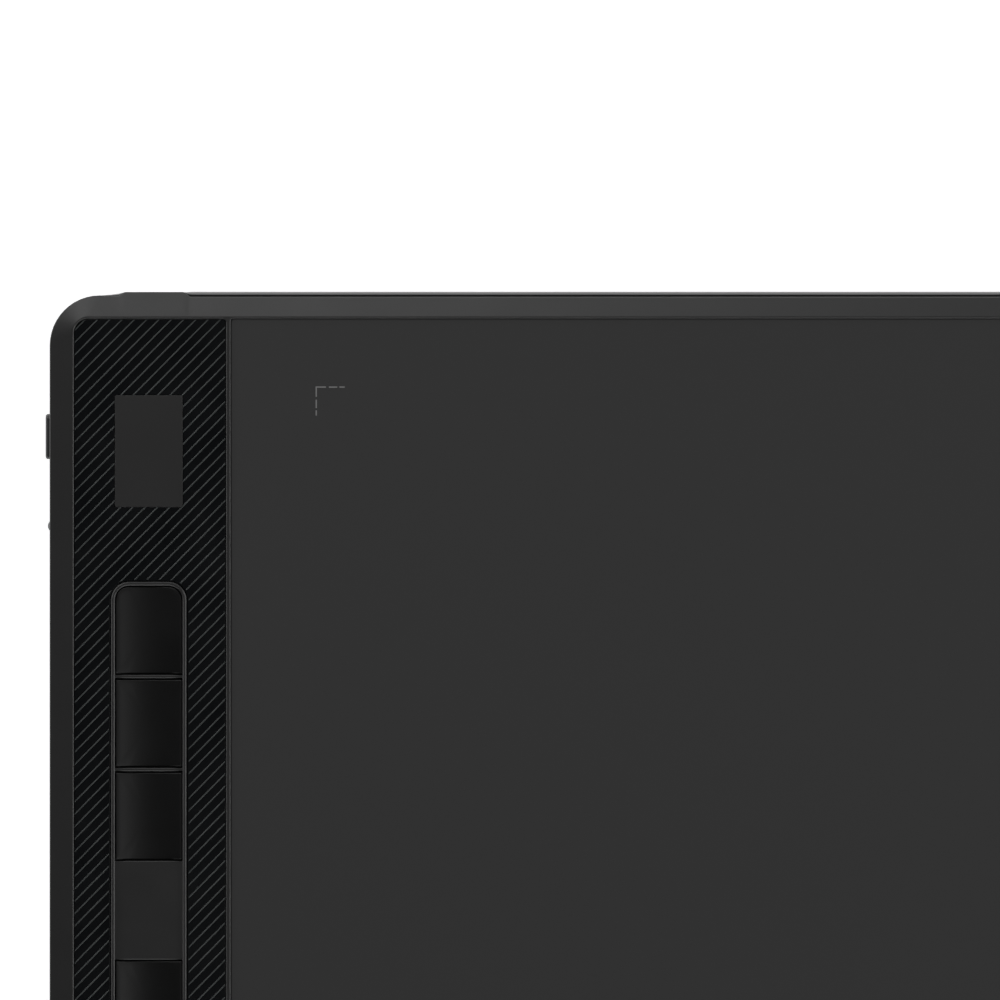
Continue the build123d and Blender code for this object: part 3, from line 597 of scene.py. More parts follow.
strip_inner, sheet_inner = 1.0, 0.5
strip_radii = (recess_corner, strip_inner, strip_inner, recess_corner)
sheet_radii = (sheet_inner, recess_corner, recess_corner, sheet_inner)
strip_rings = recess_wall(left + bezel, divider_left, strip_radii, strip_floor)
sheet_rings = recess_wall(divider_right, right - bezel, sheet_radii, sheet_floor)
window_rings = [lift(window_line(window_ledge), height) for height in (strip_floor, plate_under)]
key_rings = [lift(slot_line(-slot_gap), height) for height in (strip_floor, plate_under)]


def tubes(places, z_low, z_high, radius, bore, sides=24):
    """Upright tubes: at each place a wall that goes up outside and comes down inside."""
    profile = [(radius, z_low), (radius, z_high), (bore, z_high), (bore, z_low)]
    return [band(stack(lambda size: round_line(x, y, size, sides), profile), ring=True) for x, y in places]


post_inset = 7.5
post_foot, post_radius, post_bore = 4.85, 2.6, 1.0
overlap = 0.1
post_x, post_y = right - post_inset, rear - post_inset
width_sixth = (right - left) / 6
divider_post_x = -166.875
post_places = [(x, y) for x in (-post_x, -width_sixth, width_sixth, post_x) for y in (-post_y, post_y)]
post_places += [(divider_post_x, y) for y in (front / 2, rear / 2)]

top_surfaces = [band(rings) for rings in (outside, strip_rings, window_rings, key_rings, sheet_rings)]
top_surfaces += [
    fill(outside[-1], strip_rings[0], sheet_rings[0]), fill(strip_rings[-1], window_rings[0], key_rings[0]),
    fill(sheet_rings[-1]), fill(outside[0], window_rings[1], key_rings[1]),
]
top_surfaces += tubes(post_places, post_foot, plate_under + overlap, post_radius, post_bore)
place_piece("top_shell", top_surfaces, "case_plastic", stands_for=["top_cover"])

# %% [markdown]
# ## Slabs and blocks
#
# Two more tools, for simple parts. A slab is an outline with a thickness and one softened edge, such as the
# sheet or a foot. Blocks are plain boxes, for what is too small or too hidden to show its edges.

# %% Slabs and blocks


def slab(line, z_low, z_high, edge, steps=4):
    """A flat part whose outline leaves z_low, rounds over by edge and closes in a flat face at z_high.

    line gives the outline for an inset. With z_high below z_low, the rounded face looks down.
    """
    profile = soften([(0, z_low), (0, z_high), (2 * edge, z_high)], [edge], steps)[:-1]
    return closed(stack(line, profile))


def blocks(rows):
    """Boxes from rows of x, y and z limits: eight corners and six faces each."""
    rows = np.asarray(rows, float).reshape(-1, 3, 2)
    corner = np.array([(i, j, k) for k in (0, 1) for j in (0, 1) for i in (0, 1)])
    points = np.stack([rows[:, axis][:, corner[:, axis]] for axis in range(3)], axis=-1)
    sides = np.array([(0, 2, 3, 1), (4, 5, 7, 6), (0, 1, 5, 4), (2, 6, 7, 3), (0, 4, 6, 2), (1, 3, 7, 5)])
    faces = sides[None] + 8 * np.arange(len(rows))[:, None, None]
    return points.reshape(-1, 3), faces.reshape(-1, 4)


# %% [markdown]
# ## The drawing sheet and its corner marks
#
# The sheet is a stiff matt film, stuck in its recess with a fine gap round it. Its upper edge is rounded just
# enough to catch a line of light.

# %% The drawing sheet
sheet_low, sheet_high = limits("drawing_sheet")
sheet_edge = 0.06
sheet_round = 2.9


def sheet_line(inset):
    """The sheet's outline, with rounder corners at the right, where the case's are."""
    return around("drawing_sheet", inset, (sheet_inner, sheet_round, sheet_round, sheet_inner))


finish("sheet_film", (0.0405, 0.0405, 0.0405), (0.60, 0.64), 0.00018, 0.000003, mottle=0.05)
sheet_slab = slab(sheet_line, sheet_low[2], sheet_high[2], sheet_edge)
place_piece("sheet", sheet_slab, "sheet_film", stands_for=["drawing_sheet"])

# %% [markdown]
# Printed dashes stand just outside the four corners of the area that senses the pen. A picture on the film
# would need a map, so each dash is a sliver a hundredth of a millimetre proud, which stays sharp from near.

# %% Printed corner marks
mark_out = 0.17
active_width, active_depth = 345.4, 215.9
active_left, active_rear = left + 55.4, rear - 19.1
mark_x = (active_left - mark_out, active_left + active_width + mark_out)
mark_y = (active_rear - active_depth - mark_out, active_rear + mark_out)
dash_width = 0.27
dashes = np.array([(0.0, 2.15), (2.75, 4.5), (4.95, 6.05)])
ink_height = 0.01


def corner_dashes(x, y, inward_x, inward_y):
    """The dashes of one corner: three along X and three along Y, the first of them meeting in the corner."""
    across = np.column_stack([dashes, np.tile([0, dash_width], (3, 1))])
    upward = across[:, [2, 3, 0, 1]].copy()
    upward[0, 2] = dash_width
    flat = np.vstack([across, upward]) * [inward_x, inward_x, inward_y, inward_y] + [x, x, y, y]
    height = np.tile([sheet_high[2] - ink_height, sheet_high[2] + ink_height], (6, 1))
    return np.column_stack([np.sort(flat[:, :2]), np.sort(flat[:, 2:]), height])


mark_rows = np.vstack([
    corner_dashes(x, y, inward_x, inward_y)
    for x, inward_x in zip(mark_x, (1, -1))
    for y, inward_y in zip(mark_y, (1, -1))
])
finish("mark_ink", (0.27, 0.27, 0.27), (0.5, 0.6), 0.00005, 0.000002)
place_piece("corner_marks", [blocks(mark_rows)], "sheet_film", look="mark_ink")

# %% [markdown]
# ## The display window
#
# The window is a plain dark plate, almost level with the ribs round it, and tinted so deeply that the display
# behind it doesn't show until it lights up. So it is a slab of opaque dark plastic, with a grain much shallower
# than the covers'.

# %% The display window
lens_low, lens_high = limits("display_lens")
lens_edge = 0.08
finish("lens_plastic", (0.032, 0.0318, 0.0318), (0.38, 0.42), 0.0006, 0.0000005, mottle=0.02)
lens_slab = slab(window_line, lens_low[2], lens_high[2], lens_edge)
place_piece("display_window", lens_slab, "lens_plastic", stands_for=["display_lens"])

# %% [markdown]
# ## The key frame
#
# A raised rim runs round the keys, with a thin bar between neighbours and a plain fixed cell halfway. The rim
# is a closed profile carried round a rounded outline: a flange under the plate, the upright wall, and a
# crown with both edges bevelled. The bars are low slabs whose ends run into the rim. Keys and bars stand a
# quarter of a millimetre nearer to the frame's ends than even steps would put them.

# %% Rim, bars and fixed cell
frame_low, frame_high = limits("key_frame")
frame_rim = 0.9
rim_gap = 0.15
rim_bevels = [0.22, 0.2]
rim_seam = 7.5
frame_bar = 0.64
bar_sunk = 0.35
bar_bevel = 0.14
bar_corner = 0.01
end_shift = 0.26
key_count = 6
cell_pitch = 19.3
column_x, column_y = middle_of("key_frame")[:2]
rim_corners = [
    (frame_rim, rim_seam), (frame_rim, frame_low[2]), (-slot_flange, frame_low[2]), (-slot_flange, plate_under),
    (rim_gap, plate_under), (rim_gap, frame_high[2]), (frame_rim, frame_high[2]), (frame_rim, rim_seam),
]
rim_profile = soften(rim_corners, [0, 0, 0, 0, *rim_bevels], steps=1)[:-1]
frame_surfaces = [band(stack(slot_line, rim_profile), ring=True)]
bar_reach = 7.3


def cross_bar(y_low, y_high):
    """A slab across the frame, between two places along it."""

    def bar_line(inset):
        """The bar's outline, drawn in by inset."""
        return outline(
            column_x - bar_reach + inset, column_x + bar_reach - inset, y_low + inset, y_high - inset,
            (bar_corner,) * 4, steps=1,
        )

    return slab(bar_line, frame_low[2], frame_high[2] - bar_sunk, bar_bevel, steps=1)


for step in (-2.5, -1.5, 1.5, 2.5):
    bar_y = column_y + step * cell_pitch + np.sign(step) * end_shift
    frame_surfaces += cross_bar(bar_y - frame_bar / 2, bar_y + frame_bar / 2)
bridge_reach = (cell_pitch + frame_bar) / 2 + end_shift
frame_surfaces += cross_bar(column_y - bridge_reach, column_y + bridge_reach)
finish("frame_plastic", (0.026, 0.026, 0.026), (0.38, 0.44), 0.0002, 0.000002)
place_piece("key_rim", frame_surfaces, "frame_plastic", stands_for=["key_frame"])

# %% [markdown]
# ## The press keys
#
# Each key is dished across, like a shallow gutter, so a finger finds its middle. The top is made of the key's
# own outline, shrunk again and again towards the middle, and every point takes its height from the dish: a
# parabola across the key, eased where it runs out into a narrow land along each side. Keys at the ends of the
# frame have two round corners. A flange below holds the key under the frame, and a post in its hollow
# presses the switch.

# %% One dished key
key_dish = 0.6
dish_half = 6.35
dish_ease = 0.05
key_edge = 0.16
key_stops = np.linspace(-4.3, 4.3, 13)
key_shrink = np.linspace(1, 0, 14)
end_round = 2.8
tight_round = 0.12
least_round = 0.02
key_flange = 0.6
key_flange_z = (5.8, 6.35)
key_roof = 1.0
pocket_inset = np.array([1.0, 2.0])
pocket_round = 0.1
post_half = 1.0


def dish(x):
    """Depth of the dish: a parabola, held above zero by an eased corner."""
    bowl = key_dish * (1 - (x / dish_half) ** 2)
    return (bowl + np.sqrt(bowl**2 + dish_ease**2)) / 2


def press_key(number):
    """All surfaces of one key, round its own middle."""
    low, high = limits(f"press_key_{number}")
    middle = (low + high) / 2
    half = (high - low)[:2] / 2 - key_flange
    front_round = end_round if number == key_count else tight_round
    rear_round = end_round if number == 1 else tight_round
    aside = np.array([0, end_shift if number <= key_count // 2 else -end_shift])
    flange_low, flange_high = key_flange_z
    roof = high[2] - key_dish - key_roof

    def key_line(inset):
        """The cap's outline, drawn in by inset."""
        radii = [max(size - inset, least_round) for size in (front_round, front_round, rear_round, rear_round)]
        reach = half - inset
        return outline(-reach[0], reach[0], -reach[1], reach[1], radii, key_stops, key_stops) + aside

    def box_line(reach):
        """A nearly sharp rectangle that reaches so far from the middle both ways."""
        return outline(-reach[0], reach[0], -reach[1], reach[1], (pocket_round,) * 4, steps=2)

    skirt = lift(key_line(0), flange_high)
    flange = [lift(box_line(half + key_flange), height) for height in key_flange_z]
    pocket = [lift(box_line(half - pocket_inset), height) for height in (flange_low, roof)]
    rings = [skirt]
    edge = soften([(0, -1), (0, 0), (1, 0)], [key_edge])[1:-1]
    for inset, drop in edge:
        line = key_line(inset)
        rings.append(np.column_stack([line, high[2] - dish(line[:, 0]) + drop]))
    inner = key_line(key_edge)
    for share in key_shrink[1:]:
        line = aside + (inner - aside) * share
        rings.append(np.column_stack([line, high[2] - dish(line[:, 0])]))
    post = [(-post_half, post_half), (-post_half, post_half), (low[2], roof + 2 * overlap)]
    surfaces = [
        band(flange), band(pocket), band(rings), fill(pocket[1]),
        fill(flange[0], pocket[0]), fill(flange[1], skirt), blocks([post]),
    ]
    shift = np.array([middle[0], middle[1], 0])
    return [(points + shift, faces) for points, faces in surfaces]


finish("key_plastic", (0.0036, 0.0036, 0.0037), (0.34, 0.38), 0.0003, 0.0000012)
for number in range(1, key_count + 1):
    place_piece(
        f"key_cap_{number}", press_key(number), "key_plastic", body=f"key_{number}",
        stands_for=[f"press_key_{number}"],
    )

# %% [markdown]
# ## The power key and the status light
#
# Both stand out of the left side. The power key is a flat oval with a well rounded face, and behind the wall
# it has a flange that keeps it in and a nub that meets the switch. The status light is a clear pin with a
# domed end. Their outlines lie in an upright plane, so they are drawn as before and then stood on edge.

# %% Power key and light pipe


def stand(line, x):
    """Stands a flat outline up in the plane at x: its first column becomes Y and its second Z."""
    return np.column_stack([np.full(len(line), x), line])


def oval_line(middle_y, middle_z, length, height, inset=0.0):
    """A flat oval with full-round ends."""
    reach, rise = length / 2 - inset, height / 2 - inset
    return outline(
        middle_y - reach, middle_y + reach, middle_z - rise, middle_z + rise, (rise - hair,) * 4, steps=10
    )


button_low, button_high = limits("power_key")
button_y, button_z = middle_of("power_key")[1:]
button_length, button_height = 9.4, 2.2
button_round, button_face = 0.5, 0.8
button_flange = 0.7
nub_half = 0.6
side_wall = 2.0
flange_x = left + side_wall + 0.05
nub_z = middle_of("power_plunger")[2]
button_profile = soften(
    [(flange_x, 0), (button_low[0], 0), (button_low[0], button_face)], [button_round], steps=6
)[:-1]
button_rings = [
    stand(oval_line(button_y, button_z, button_length, button_height, inset), x) for x, inset in button_profile
]
button_blocks = [
    [(flange_x, flange_x + button_flange), (button_low[1], button_high[1]), (button_low[2], button_high[2])],
    [
        (flange_x + button_flange - 0.05, button_high[0]), (button_y - nub_half, button_y + nub_half),
        (nub_z - nub_half, nub_z + nub_half),
    ],
]
finish("button_plastic", (0.060, 0.060, 0.061), (0.34, 0.42), 0.00015, 0.0000015)
button_surfaces = closed(button_rings) + [blocks(button_blocks)]
place_piece(
    "power_button_cap", button_surfaces, "button_plastic", body="power_button", stands_for=["power_key"]
)

pipe_low, pipe_high = limits("status_light_pipe")
pipe_y, pipe_z = middle_of("status_light_pipe")[1:]
pipe_radius = 1.1
pipe_flange = 0.4
tip_turn = 0.06
dome_height = left - pipe_low[0]
dome_radius = (pipe_radius**2 + dome_height**2) / (2 * dome_height)
dome_reach = np.arcsin(pipe_radius / dome_radius)
dome_turn = np.linspace(tip_turn, dome_reach, 8)
dome = np.column_stack([pipe_low[0] + dome_radius * (1 - np.cos(dome_turn)), dome_radius * np.sin(dome_turn)])
stem_radius = pipe_radius + pipe_flange
stem = [(flange_x, pipe_radius), (flange_x, stem_radius), (pipe_high[0], stem_radius)]
pipe_rings = [stand(round_line(pipe_y, pipe_z, radius), x) for x, radius in np.vstack([dome, stem])]
finish("light_pipe", (0.55, 0.57, 0.58), (0.12, 0.18), 0.0004, 0.0000004, mottle=0.02)
clear = finishes["light_pipe"].node_tree.nodes["Principled BSDF"]
clear.inputs["Transmission Weight"].default_value = 0.75
place_piece("light_dome", closed(pipe_rings), "light_pipe", stands_for=["status_light_pipe"])

# %% [markdown]
# ## The bottom cover
#
# The tray has a flat floor, a softened edge all round and a rear wall that stands out a little, which is the
# line that shows behind the top cover. That wall bulges like a quarter of an ellipse: at its foot it is so
# steep that it mirrors the white table, and towards the top it turns darker. A narrow groove inside it keeps
# the joint with the top cover a dark line. The profile is again a line carried round the outline, up the
# outside, over the tongue that the top cover closes on, and down inside. Holes in the floor lead into pockets
# for the feet and into the screw posts.

# %% Tray walls and floor
floor_low, floor_top = 0.8, 2.2
parting = 6.2
floor_softness = 1.6
lean = 0.85
shoulder_steps = 7
shoulder_rise = 1.0
floor_radii = [0.6, 1.2]
foot_names = [f"rubber_foot_{number}" for number in range(1, 5)]
wall_foot = floor_low + floor_softness
wall_top = parting + 0.02
below = soften(
    [(floor_softness + 2, floor_low), (floor_softness, floor_low), (0, wall_foot), (0, parting)], floor_radii
)[1:-1]
climb = np.sin(np.linspace(0, np.pi / 2, shoulder_steps + 1))[1:]
shoulder_low = wall_foot + shoulder_rise
shoulder = np.column_stack([np.zeros(shoulder_steps), shoulder_low + (parting - shoulder_low) * climb])
groove_depth = 1.0
groove_width = 0.42
groove_lip = 0.01
groove_lines = [groove_lip, 2 * groove_lip, groove_width - 2 * groove_lip, groove_width]
groove = np.array([(inset, parting) for inset in groove_lines])
groove_sinks = np.array([0, groove_depth, groove_depth, 0])
tongue_inset, tongue_height, tongue_edge = 1.3, 0.7, 0.1
tongue_top = parting + tongue_height
above_corners = [
    (groove_width, parting), (tongue_inset, parting), (tongue_inset, tongue_top), (side_wall, tongue_top),
    (side_wall, floor_top),
]
above = soften(above_corners, [0, tongue_edge, tongue_edge])[1:]
tray_profile = np.vstack([below, shoulder, groove, above])
tray_sinks = np.concatenate([np.zeros(len(below) + len(shoulder)), groove_sinks, np.zeros(len(above))])


def tray_ring(inset, height, sink):
    """One outline of the tray, with sink for how far the parting groove goes down along the rear side.

    Going down from the parting line, the rear wall swells to the full lean, by the square root of one minus
    the square of what is left to go.
    """
    inside = inset >= tongue_inset and height >= floor_top
    left_to_go = np.clip((height - wall_foot) / (wall_top - wall_foot), 0, 1)
    flare = 0.0 if inside else lean * np.sqrt(1 - left_to_go**2)
    out = 0.0 if inside else swell_out * np.clip((height - floor_low) / floor_softness, 0, 1)
    ring = case_ring(inset, height, strict=True, out=out, flare=flare)
    along = away_from_corners(ring[:, 0]) * (1 - swell(ring[:, 0])) * (ring[:, 1] > rear - inset - hair)
    ring[:, 2] -= sink * along
    return ring


tray_rings = [tray_ring(inset, height, sink) for (inset, height), sink in zip(tray_profile, tray_sinks)]
print("tray rings", len(tray_rings))

# %% [markdown]
# The floor is one flat face with a hole for each foot and each screw. Every hole goes on as a wall of stacked
# outlines. A foot's pocket ends in a roof. A screw's bore is wide up to the seat of the head, narrow from there
# to the top of the post, and comes down again outside as the post itself.

# %% Pockets, posts and the whole tray
foot_corner = 1.0
pocket_gap = 0.1
pocket_edge = 0.1
pocket_roof = limits(foot_names[0])[1][2]
pocket_profile = [
    (-pocket_gap - pocket_edge, floor_low), (-pocket_gap, floor_low + pocket_edge), (-pocket_gap, pocket_roof),
]
pockets = [
    stack(lambda inset: around(name, inset, (foot_corner,) * 4), pocket_profile) for name in foot_names
]
head_seat = 2.5
post_split = 4.8
head_bore, shank_bore, bore_edge = 2.15, 1.15, 0.15
post_outside = 3.2
post_profile = [
    (head_bore + bore_edge, floor_low), (head_bore, floor_low + bore_edge), (head_bore, head_seat),
    (shank_bore, head_seat), (shank_bore, post_split), (post_outside, post_split), (post_outside, floor_top),
]
post_rings = [stack(lambda radius: round_line(x, y, radius), post_profile) for x, y in post_places]
tray_surfaces = [
    band(tray_rings),
    fill(tray_rings[0], *[rings[0] for rings in pockets], *[rings[0] for rings in post_rings]),
    fill(tray_rings[-1], *[rings[-1] for rings in post_rings]),
]
tray_surfaces += [band(rings) for rings in pockets + post_rings]
tray_surfaces += [fill(rings[-1]) for rings in pockets]
tray_mesh = make_mesh("tray", tray_surfaces)
print("tray faces before cutting", len(tray_mesh.polygons))

# %% [markdown]
# The three openings in the side walls are cut out of the finished tray, because an oval hole through a curved
# wall would spoil the even grid of its outlines. Each cutter is straight inside and widens by 45 degrees near
# the outer face, which leaves a bevelled mouth. The cut is carried out at once, so what stays is a plain mesh.

# %% Openings in the side walls
cut_reach = 4.0
past_wall = 0.2


def cut(mesh, tool_mesh, operation="DIFFERENCE"):
    """Takes one closed mesh out of another, or keeps what lies in both, and gives a plain mesh."""
    body = bpy.data.objects.new("uncut", mesh)
    tool = bpy.data.objects.new("tool", tool_mesh)
    for item in (body, tool):
        bpy.context.scene.collection.objects.link(item)
    taken = body.modifiers.new("cut", "BOOLEAN")
    taken.object = tool
    taken.operation = operation
    taken.solver = "EXACT"
    result = bpy.data.meshes.new_from_object(body.evaluated_get(bpy.context.evaluated_depsgraph_get()))
    for item in (body, tool):
        bpy.data.objects.remove(item)
    return result


def facing_rear(line, y):
    """Stands an outline of x and z up in the plane at y."""
    return np.column_stack([line[:, 0], np.full(len(line), y), line[:, 1]])


def opening(line, upright, face, outward, bevel):
    """A cutter through the wall whose outer face lies at face: its outline widens from bevel deep on."""
    stations = [(-cut_reach, 0), (-bevel, 0), (bevel + past_wall, 2 * bevel + past_wall)]
    return closed([upright(line(-outset), face + outward * depth) for depth, outset in stations])


port_width, port_height = 9.3, 3.52
button_gap, pipe_gap = 0.12, 0.05
port_cut = opening(
    lambda inset: oval_line(port_x, port_z, port_width, port_height, inset),
    facing_rear, rear + swell_out, 1, 0.2,
)
button_cut = opening(
    lambda inset: oval_line(button_y, button_z, button_length, button_height, inset - button_gap),
    stand, left, -1, 0.15,
)
light_cut = opening(
    lambda inset: round_line(pipe_y, pipe_z, pipe_radius + pipe_gap - inset), stand, left, -1, 0.1
)
tray_mesh = cut(tray_mesh, make_mesh("cutters", port_cut + button_cut + light_cut))
place_piece("tray", tray_mesh, "case_plastic", stands_for=["bottom_cover"])

# %% [markdown]
# ## Feet and screws
#
# Four rubber strips stand in their pockets, with their lower edge rounded and a deeper, duller grain than the
# case's. They are slabs that face down.

# %% Feet
foot_edge = 0.3
finish("foot_rubber", (0.018, 0.018, 0.018), (0.72, 0.82), 0.00025, 0.000012)
for name in foot_names:
    low, high = limits(name)
    foot_slab = slab(lambda inset: around(name, inset, (foot_corner,) * 4), high[2], low[2], foot_edge)
    place_piece(name.replace("rubber_", "") + "_strip", foot_slab, "foot_rubber", stands_for=[name])

# %% [markdown]
# Each screw head has a domed face and a cross that tapers as it goes in. A cross is star-shaped: seen from its
# middle, its edge lies, in each direction, at the farther end of the two arms that the direction passes
# through. That lets a circle flow into it point by point. The profile goes from the shank over the seat and
# the rim to the dome.

# %% Case screws
screw_points = 48
cross_arm, cross_half = 1.15, 0.25


def cross_line(x, y, scale):
    """A cross of two arms, as far out in each direction as the longer reach of the two arms."""
    angle = np.arange(screw_points) * 2 * np.pi / screw_points
    cosine = np.maximum(np.abs(np.cos(angle)), 1e-6)
    sine = np.maximum(np.abs(np.sin(angle)), 1e-6)
    level = np.minimum(cross_arm / cosine, cross_half / sine)
    upright = np.minimum(cross_arm / sine, cross_half / cosine)
    reach = np.maximum(level, upright) * scale
    return np.stack([x + reach * np.cos(angle), y + reach * np.sin(angle)], axis=1)


screw_profile = [
    (0.95, 6.4), (0.95, head_seat), (1.9, head_seat), (1.9, 1.85), (1.84, 1.66), (1.68, 1.52), (1.42, 1.42),
    (1.25, 1.4),
]
cross_profile = [(1.0, 1.4), (0.96, 1.45), (0.72, 2.0)]
screw_surfaces = []
for x, y in post_places:
    rings = stack(lambda radius: round_line(x, y, radius, screw_points), screw_profile)
    screw_surfaces += closed(rings + stack(lambda scale: cross_line(x, y, scale), cross_profile))
finish("screw_steel", (0.10, 0.10, 0.105), (0.28, 0.40), 0.0001, 0.000001, drawn=(1, 1, 6), metal=1.0)
place_piece("cross_screws", screw_surfaces, "screw_steel", stands_for=["case_screws"])

# %% [markdown]
# ## The port
#
# The steel shell and its tongue are right as they are, and only lack what makes a port look like one: the
# row of gold contacts on either face of the tongue, at half a millimetre from one to the next.

# %% Gold contacts
contact_pitch = 0.5
contact_half = 0.12
contact_rise = 0.02
contact_ends = (3.2, 0.4)
tongue_half = 0.35
tongue_end = limits("usb_port_tongue")[1][1]
contact_x = port_x + (np.arange(12) - 5.5) * contact_pitch
contact_y = tuple(tongue_end - end for end in contact_ends)
contact_rows = [
    [(x - contact_half, x + contact_half), contact_y, (face - contact_rise, face + contact_rise)]
    for x in contact_x
    for face in (port_z - tongue_half, port_z + tongue_half)
]
finish("contact_gold", (0.83, 0.58, 0.24), (0.2, 0.3), 0.00008, 0.0000005, metal=1.0)
place_piece("port_contacts", [blocks(contact_rows)], "port_steel", look="contact_gold")

# %% [markdown]
# ## The ribbed strip
#
# The strip's panel is a thin black plate with slanting ribs that run from edge to edge and stop short of the
# window and the keys. The moulding is black, and the upper half of each rib is coloured lighter. A height in
# the part's own coordinates tells rib from ground, so the light lines sit exactly on the ribs. Plate and ribs
# share this finish.

# %% The strip's two tones
strip_low, strip_high = limits("striped_panel")
rib_height = 0.2
lighter_above = strip_high[2] - rib_height / 2
ground_dark, ground_light = (0.0032, 0.0041, 0.0050), (0.0066, 0.0078, 0.0092)
# The upper half of each rib is coloured lighter than the black ground, by height alone.
rib_top_tone = (0.070, 0.077, 0.077)


def strip_finish():
    """Black ground and lighter rib tops, told apart by height."""
    finishes["strip_plastic"], tree, shader = shader_nodes("strip_plastic_finish")
    coordinates = tree.nodes.new("ShaderNodeTexCoord").outputs["Object"]
    axes = tree.nodes.new("ShaderNodeSeparateXYZ")
    tree.links.new(coordinates, axes.inputs["Vector"])
    above = wire(tree, "ShaderNodeMath", operation="GREATER_THAN")
    above.inputs[1].default_value = lighter_above * mm
    tree.links.new(axes.outputs["Z"], above.inputs[0])
    fine = cloud(tree, coordinates, 0.0003, detail=2.0)
    ground = blend(tree, spread(tree, fine, 0, 1), ground_dark, ground_light)
    tree.links.new(blend(tree, above.outputs["Value"], ground, rib_top_tone), shader.inputs["Base Color"])
    roughen(tree, shader, fine, 0.000001)
    tree.links.new(spread(tree, cloud(tree, coordinates, 0.01), 0.22, 0.28), shader.inputs["Roughness"])


strip_finish()
print("ribs are lighter above", round(lighter_above, 2), "mm")

# %% [markdown]
# The plate is the ground between the ribs: a slab with two holes, for the window and the keys. One profile
# rounds all its upper edges: as it closes in, the outer outline shrinks and the holes widen.

# %% The strip's plate
plate_top = strip_high[2] - rib_height
strip_edge = 0.08
window_gap = 0.1
round_corner, inner_corner = 2.9, 0.8


def strip_line(inset):
    """The strip's outline, with rounder corners at the left, where the case's are."""
    return around("striped_panel", inset, (round_corner, inner_corner, inner_corner, round_corner))


plate_profile = soften([(0, strip_low[2]), (0, plate_top), (1, plate_top)], [strip_edge])[:-1]
plate_rings = [
    stack(strip_line, plate_profile), stack(lambda inset: window_line(-window_gap - inset), plate_profile),
    stack(lambda inset: slot_line(-slot_gap - inset), plate_profile),
]
plate_surfaces = [band(rings) for rings in plate_rings]
plate_surfaces += [fill(*[rings[level] for rings in plate_rings]) for level in (0, -1)]
place_piece("strip_plate", plate_surfaces, "strip_plastic", stands_for=["striped_panel"])

# %% [markdown]
# Each rib is a bar with bevelled upper edges. The middles step evenly down the strip, every middle gets two
# ends along the slant, and every end is the same section of six points. The bars overshoot on purpose. What
# lies inside the area that ribs may cover is kept, and the rest is cut away in one go, as a milling cutter
# would leave it in the mould.

# %% The ribs
rib_rise = 1.009
rib_step = 2.576
rib_start = 2.20
rib_width = 0.26
rib_bevel = 0.05
rib_sunk = 0.05
rib_clear = 0.05
rib_slot_gap = 0.33
rib_numbers = np.arange(2, 112)
slant = np.array([1, rib_rise]) / math.hypot(1, rib_rise)
across = np.array([-slant[1], slant[0]])
rib_half = 26.0
middle_x = middle_of("striped_panel")[0]
middle_y = rear - rib_start + rib_rise * (middle_x - left) - rib_step * rib_numbers
side, rib_shoulder, rib_foot = rib_width / 2, strip_high[2] - rib_bevel, plate_top - rib_sunk
section = np.array([
    (-side, rib_foot), (-side, rib_shoulder), (-side + rib_bevel, strip_high[2]),
    (side - rib_bevel, strip_high[2]), (side, rib_shoulder), (side, rib_foot),
])
rib_surfaces = []
for y in middle_y:
    near, far = ([middle_x, y] + reach * slant + section[:, :1] * across for reach in (-rib_half, rib_half))
    rib_surfaces += closed([np.column_stack([end, section[:, 1]]) for end in (near, far)])
kept = [strip_line(rib_clear), window_line(-window_gap), slot_line(-rib_slot_gap)]
kept_levels = [[lift(line, height) for line in kept] for height in (strip_low[2], strip_high[2] + 1)]
kept_surfaces = [fill(*lines) for lines in kept_levels] + [band(pair) for pair in zip(*kept_levels)]
rib_mesh = cut(make_mesh("rib_bars", rib_surfaces), make_mesh("rib_area", kept_surfaces), "INTERSECT")
place_piece("strip_ribs", rib_mesh, "strip_plastic")

# %% [markdown]
# ## Everything that keeps its own mesh
#
# The rest of the tablet, most of it inside, keeps the model's meshes and only needs its finishes: green
# boards with buried copper tracks, rolled steel, amber film, foil, foam and moulded black. Each part looks up
# its finish by the name of its material slot in the model's record.

# %% Board with buried tracks


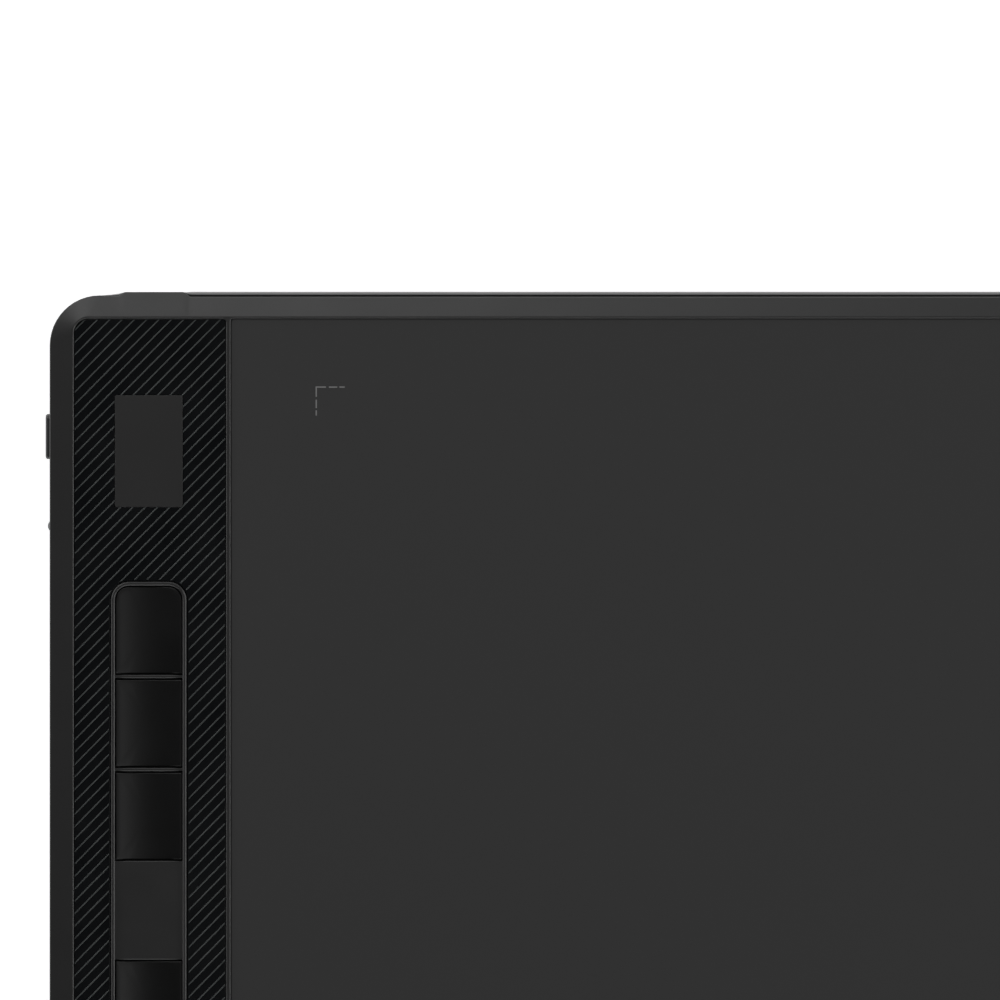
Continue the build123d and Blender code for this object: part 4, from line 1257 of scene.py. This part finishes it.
def board_finish():
    """Green lacquer over copper: bands of tracks both ways show as a lighter green and stand up a little."""
    finishes["board_green"], tree, shader = shader_nodes("board_green_finish")
    coordinates = tree.nodes.new("ShaderNodeTexCoord").outputs["Object"]
    tracks = wire(
        tree, "ShaderNodeTexBrick", Scale=1 / 0.004, Mortar_Size=0.03, Color1=(0.012, 0.085, 0.035, 1),
        Color2=(0.016, 0.100, 0.042, 1), Mortar=(0.030, 0.150, 0.065, 1),
    )
    tree.links.new(coordinates, tracks.inputs["Vector"])
    tree.links.new(tracks.outputs["Color"], shader.inputs["Base Color"])
    roughen(tree, shader, tracks.outputs["Fac"], 0.00003)
    tree.links.new(spread(tree, cloud(tree, coordinates, 0.003), 0.25, 0.40), shader.inputs["Roughness"])


# %% [markdown]
# Each finish is named for its slot. The steels get a grain drawn out along the way they were rolled, and the
# amber film one along the cable.

# %% Finishes by slot
board_finish()
finish("port_steel", (0.55, 0.55, 0.56), (0.18, 0.30), 0.00006, 0.000001, drawn=(1, 0.1, 1), metal=1.0)
finish("port_tongue", (0.02, 0.02, 0.021), (0.35, 0.45), 0.0001, 0.000001)
finish("chip_black", (0.018, 0.018, 0.02), (0.55, 0.70), 0.0001, 0.000004)
finish("steel_can", (0.52, 0.53, 0.54), (0.22, 0.34), 0.0001, 0.000001, drawn=(0.2, 1, 1), metal=1.0)
finish("switch_plastic", (0.04, 0.04, 0.042), (0.40, 0.50), 0.0001, 0.000002)
finish("plunger_plastic", (0.50, 0.50, 0.47), (0.35, 0.45), 0.0001, 0.000001)
finish("cable_film", (0.36, 0.17, 0.04), (0.18, 0.28), 0.0005, 0.000002, drawn=(4, 0.2, 1), mottle=0.2)
finish("connector_plastic", (0.60, 0.57, 0.50), (0.40, 0.50), 0.0001, 0.000002)
finish("shield_steel", (0.50, 0.51, 0.52), (0.26, 0.38), 0.0002, 0.000001, drawn=(0.05, 1, 1), metal=1.0)
finish("cell_foil", (0.60, 0.61, 0.63), (0.22, 0.38), 0.0015, 0.00002, metal=1.0)
finish("tape", (0.08, 0.08, 0.08), (0.50, 0.65), 0.0004, 0.000006)
finish("lead_red", (0.30, 0.025, 0.018), (0.35, 0.45), 0.0003, 0.000002)
finish("display_glass", (0.012, 0.012, 0.015), (0.04, 0.08), 0.002, 0.0000003)
finish("gasket_foam", (0.025, 0.025, 0.025), (0.80, 0.95), 0.00025, 0.00006)
finish("led_body", (0.75, 0.73, 0.60), (0.20, 0.30), 0.0002, 0.000001)
for part in frame["record"]["subparts"]:
    skin = nodes[part["node"]]
    skin.data.materials.clear()
    skin.data.materials.append(finishes[part["material_slot"]])
print("finishes", len(finishes), "on", len(nodes), "parts")
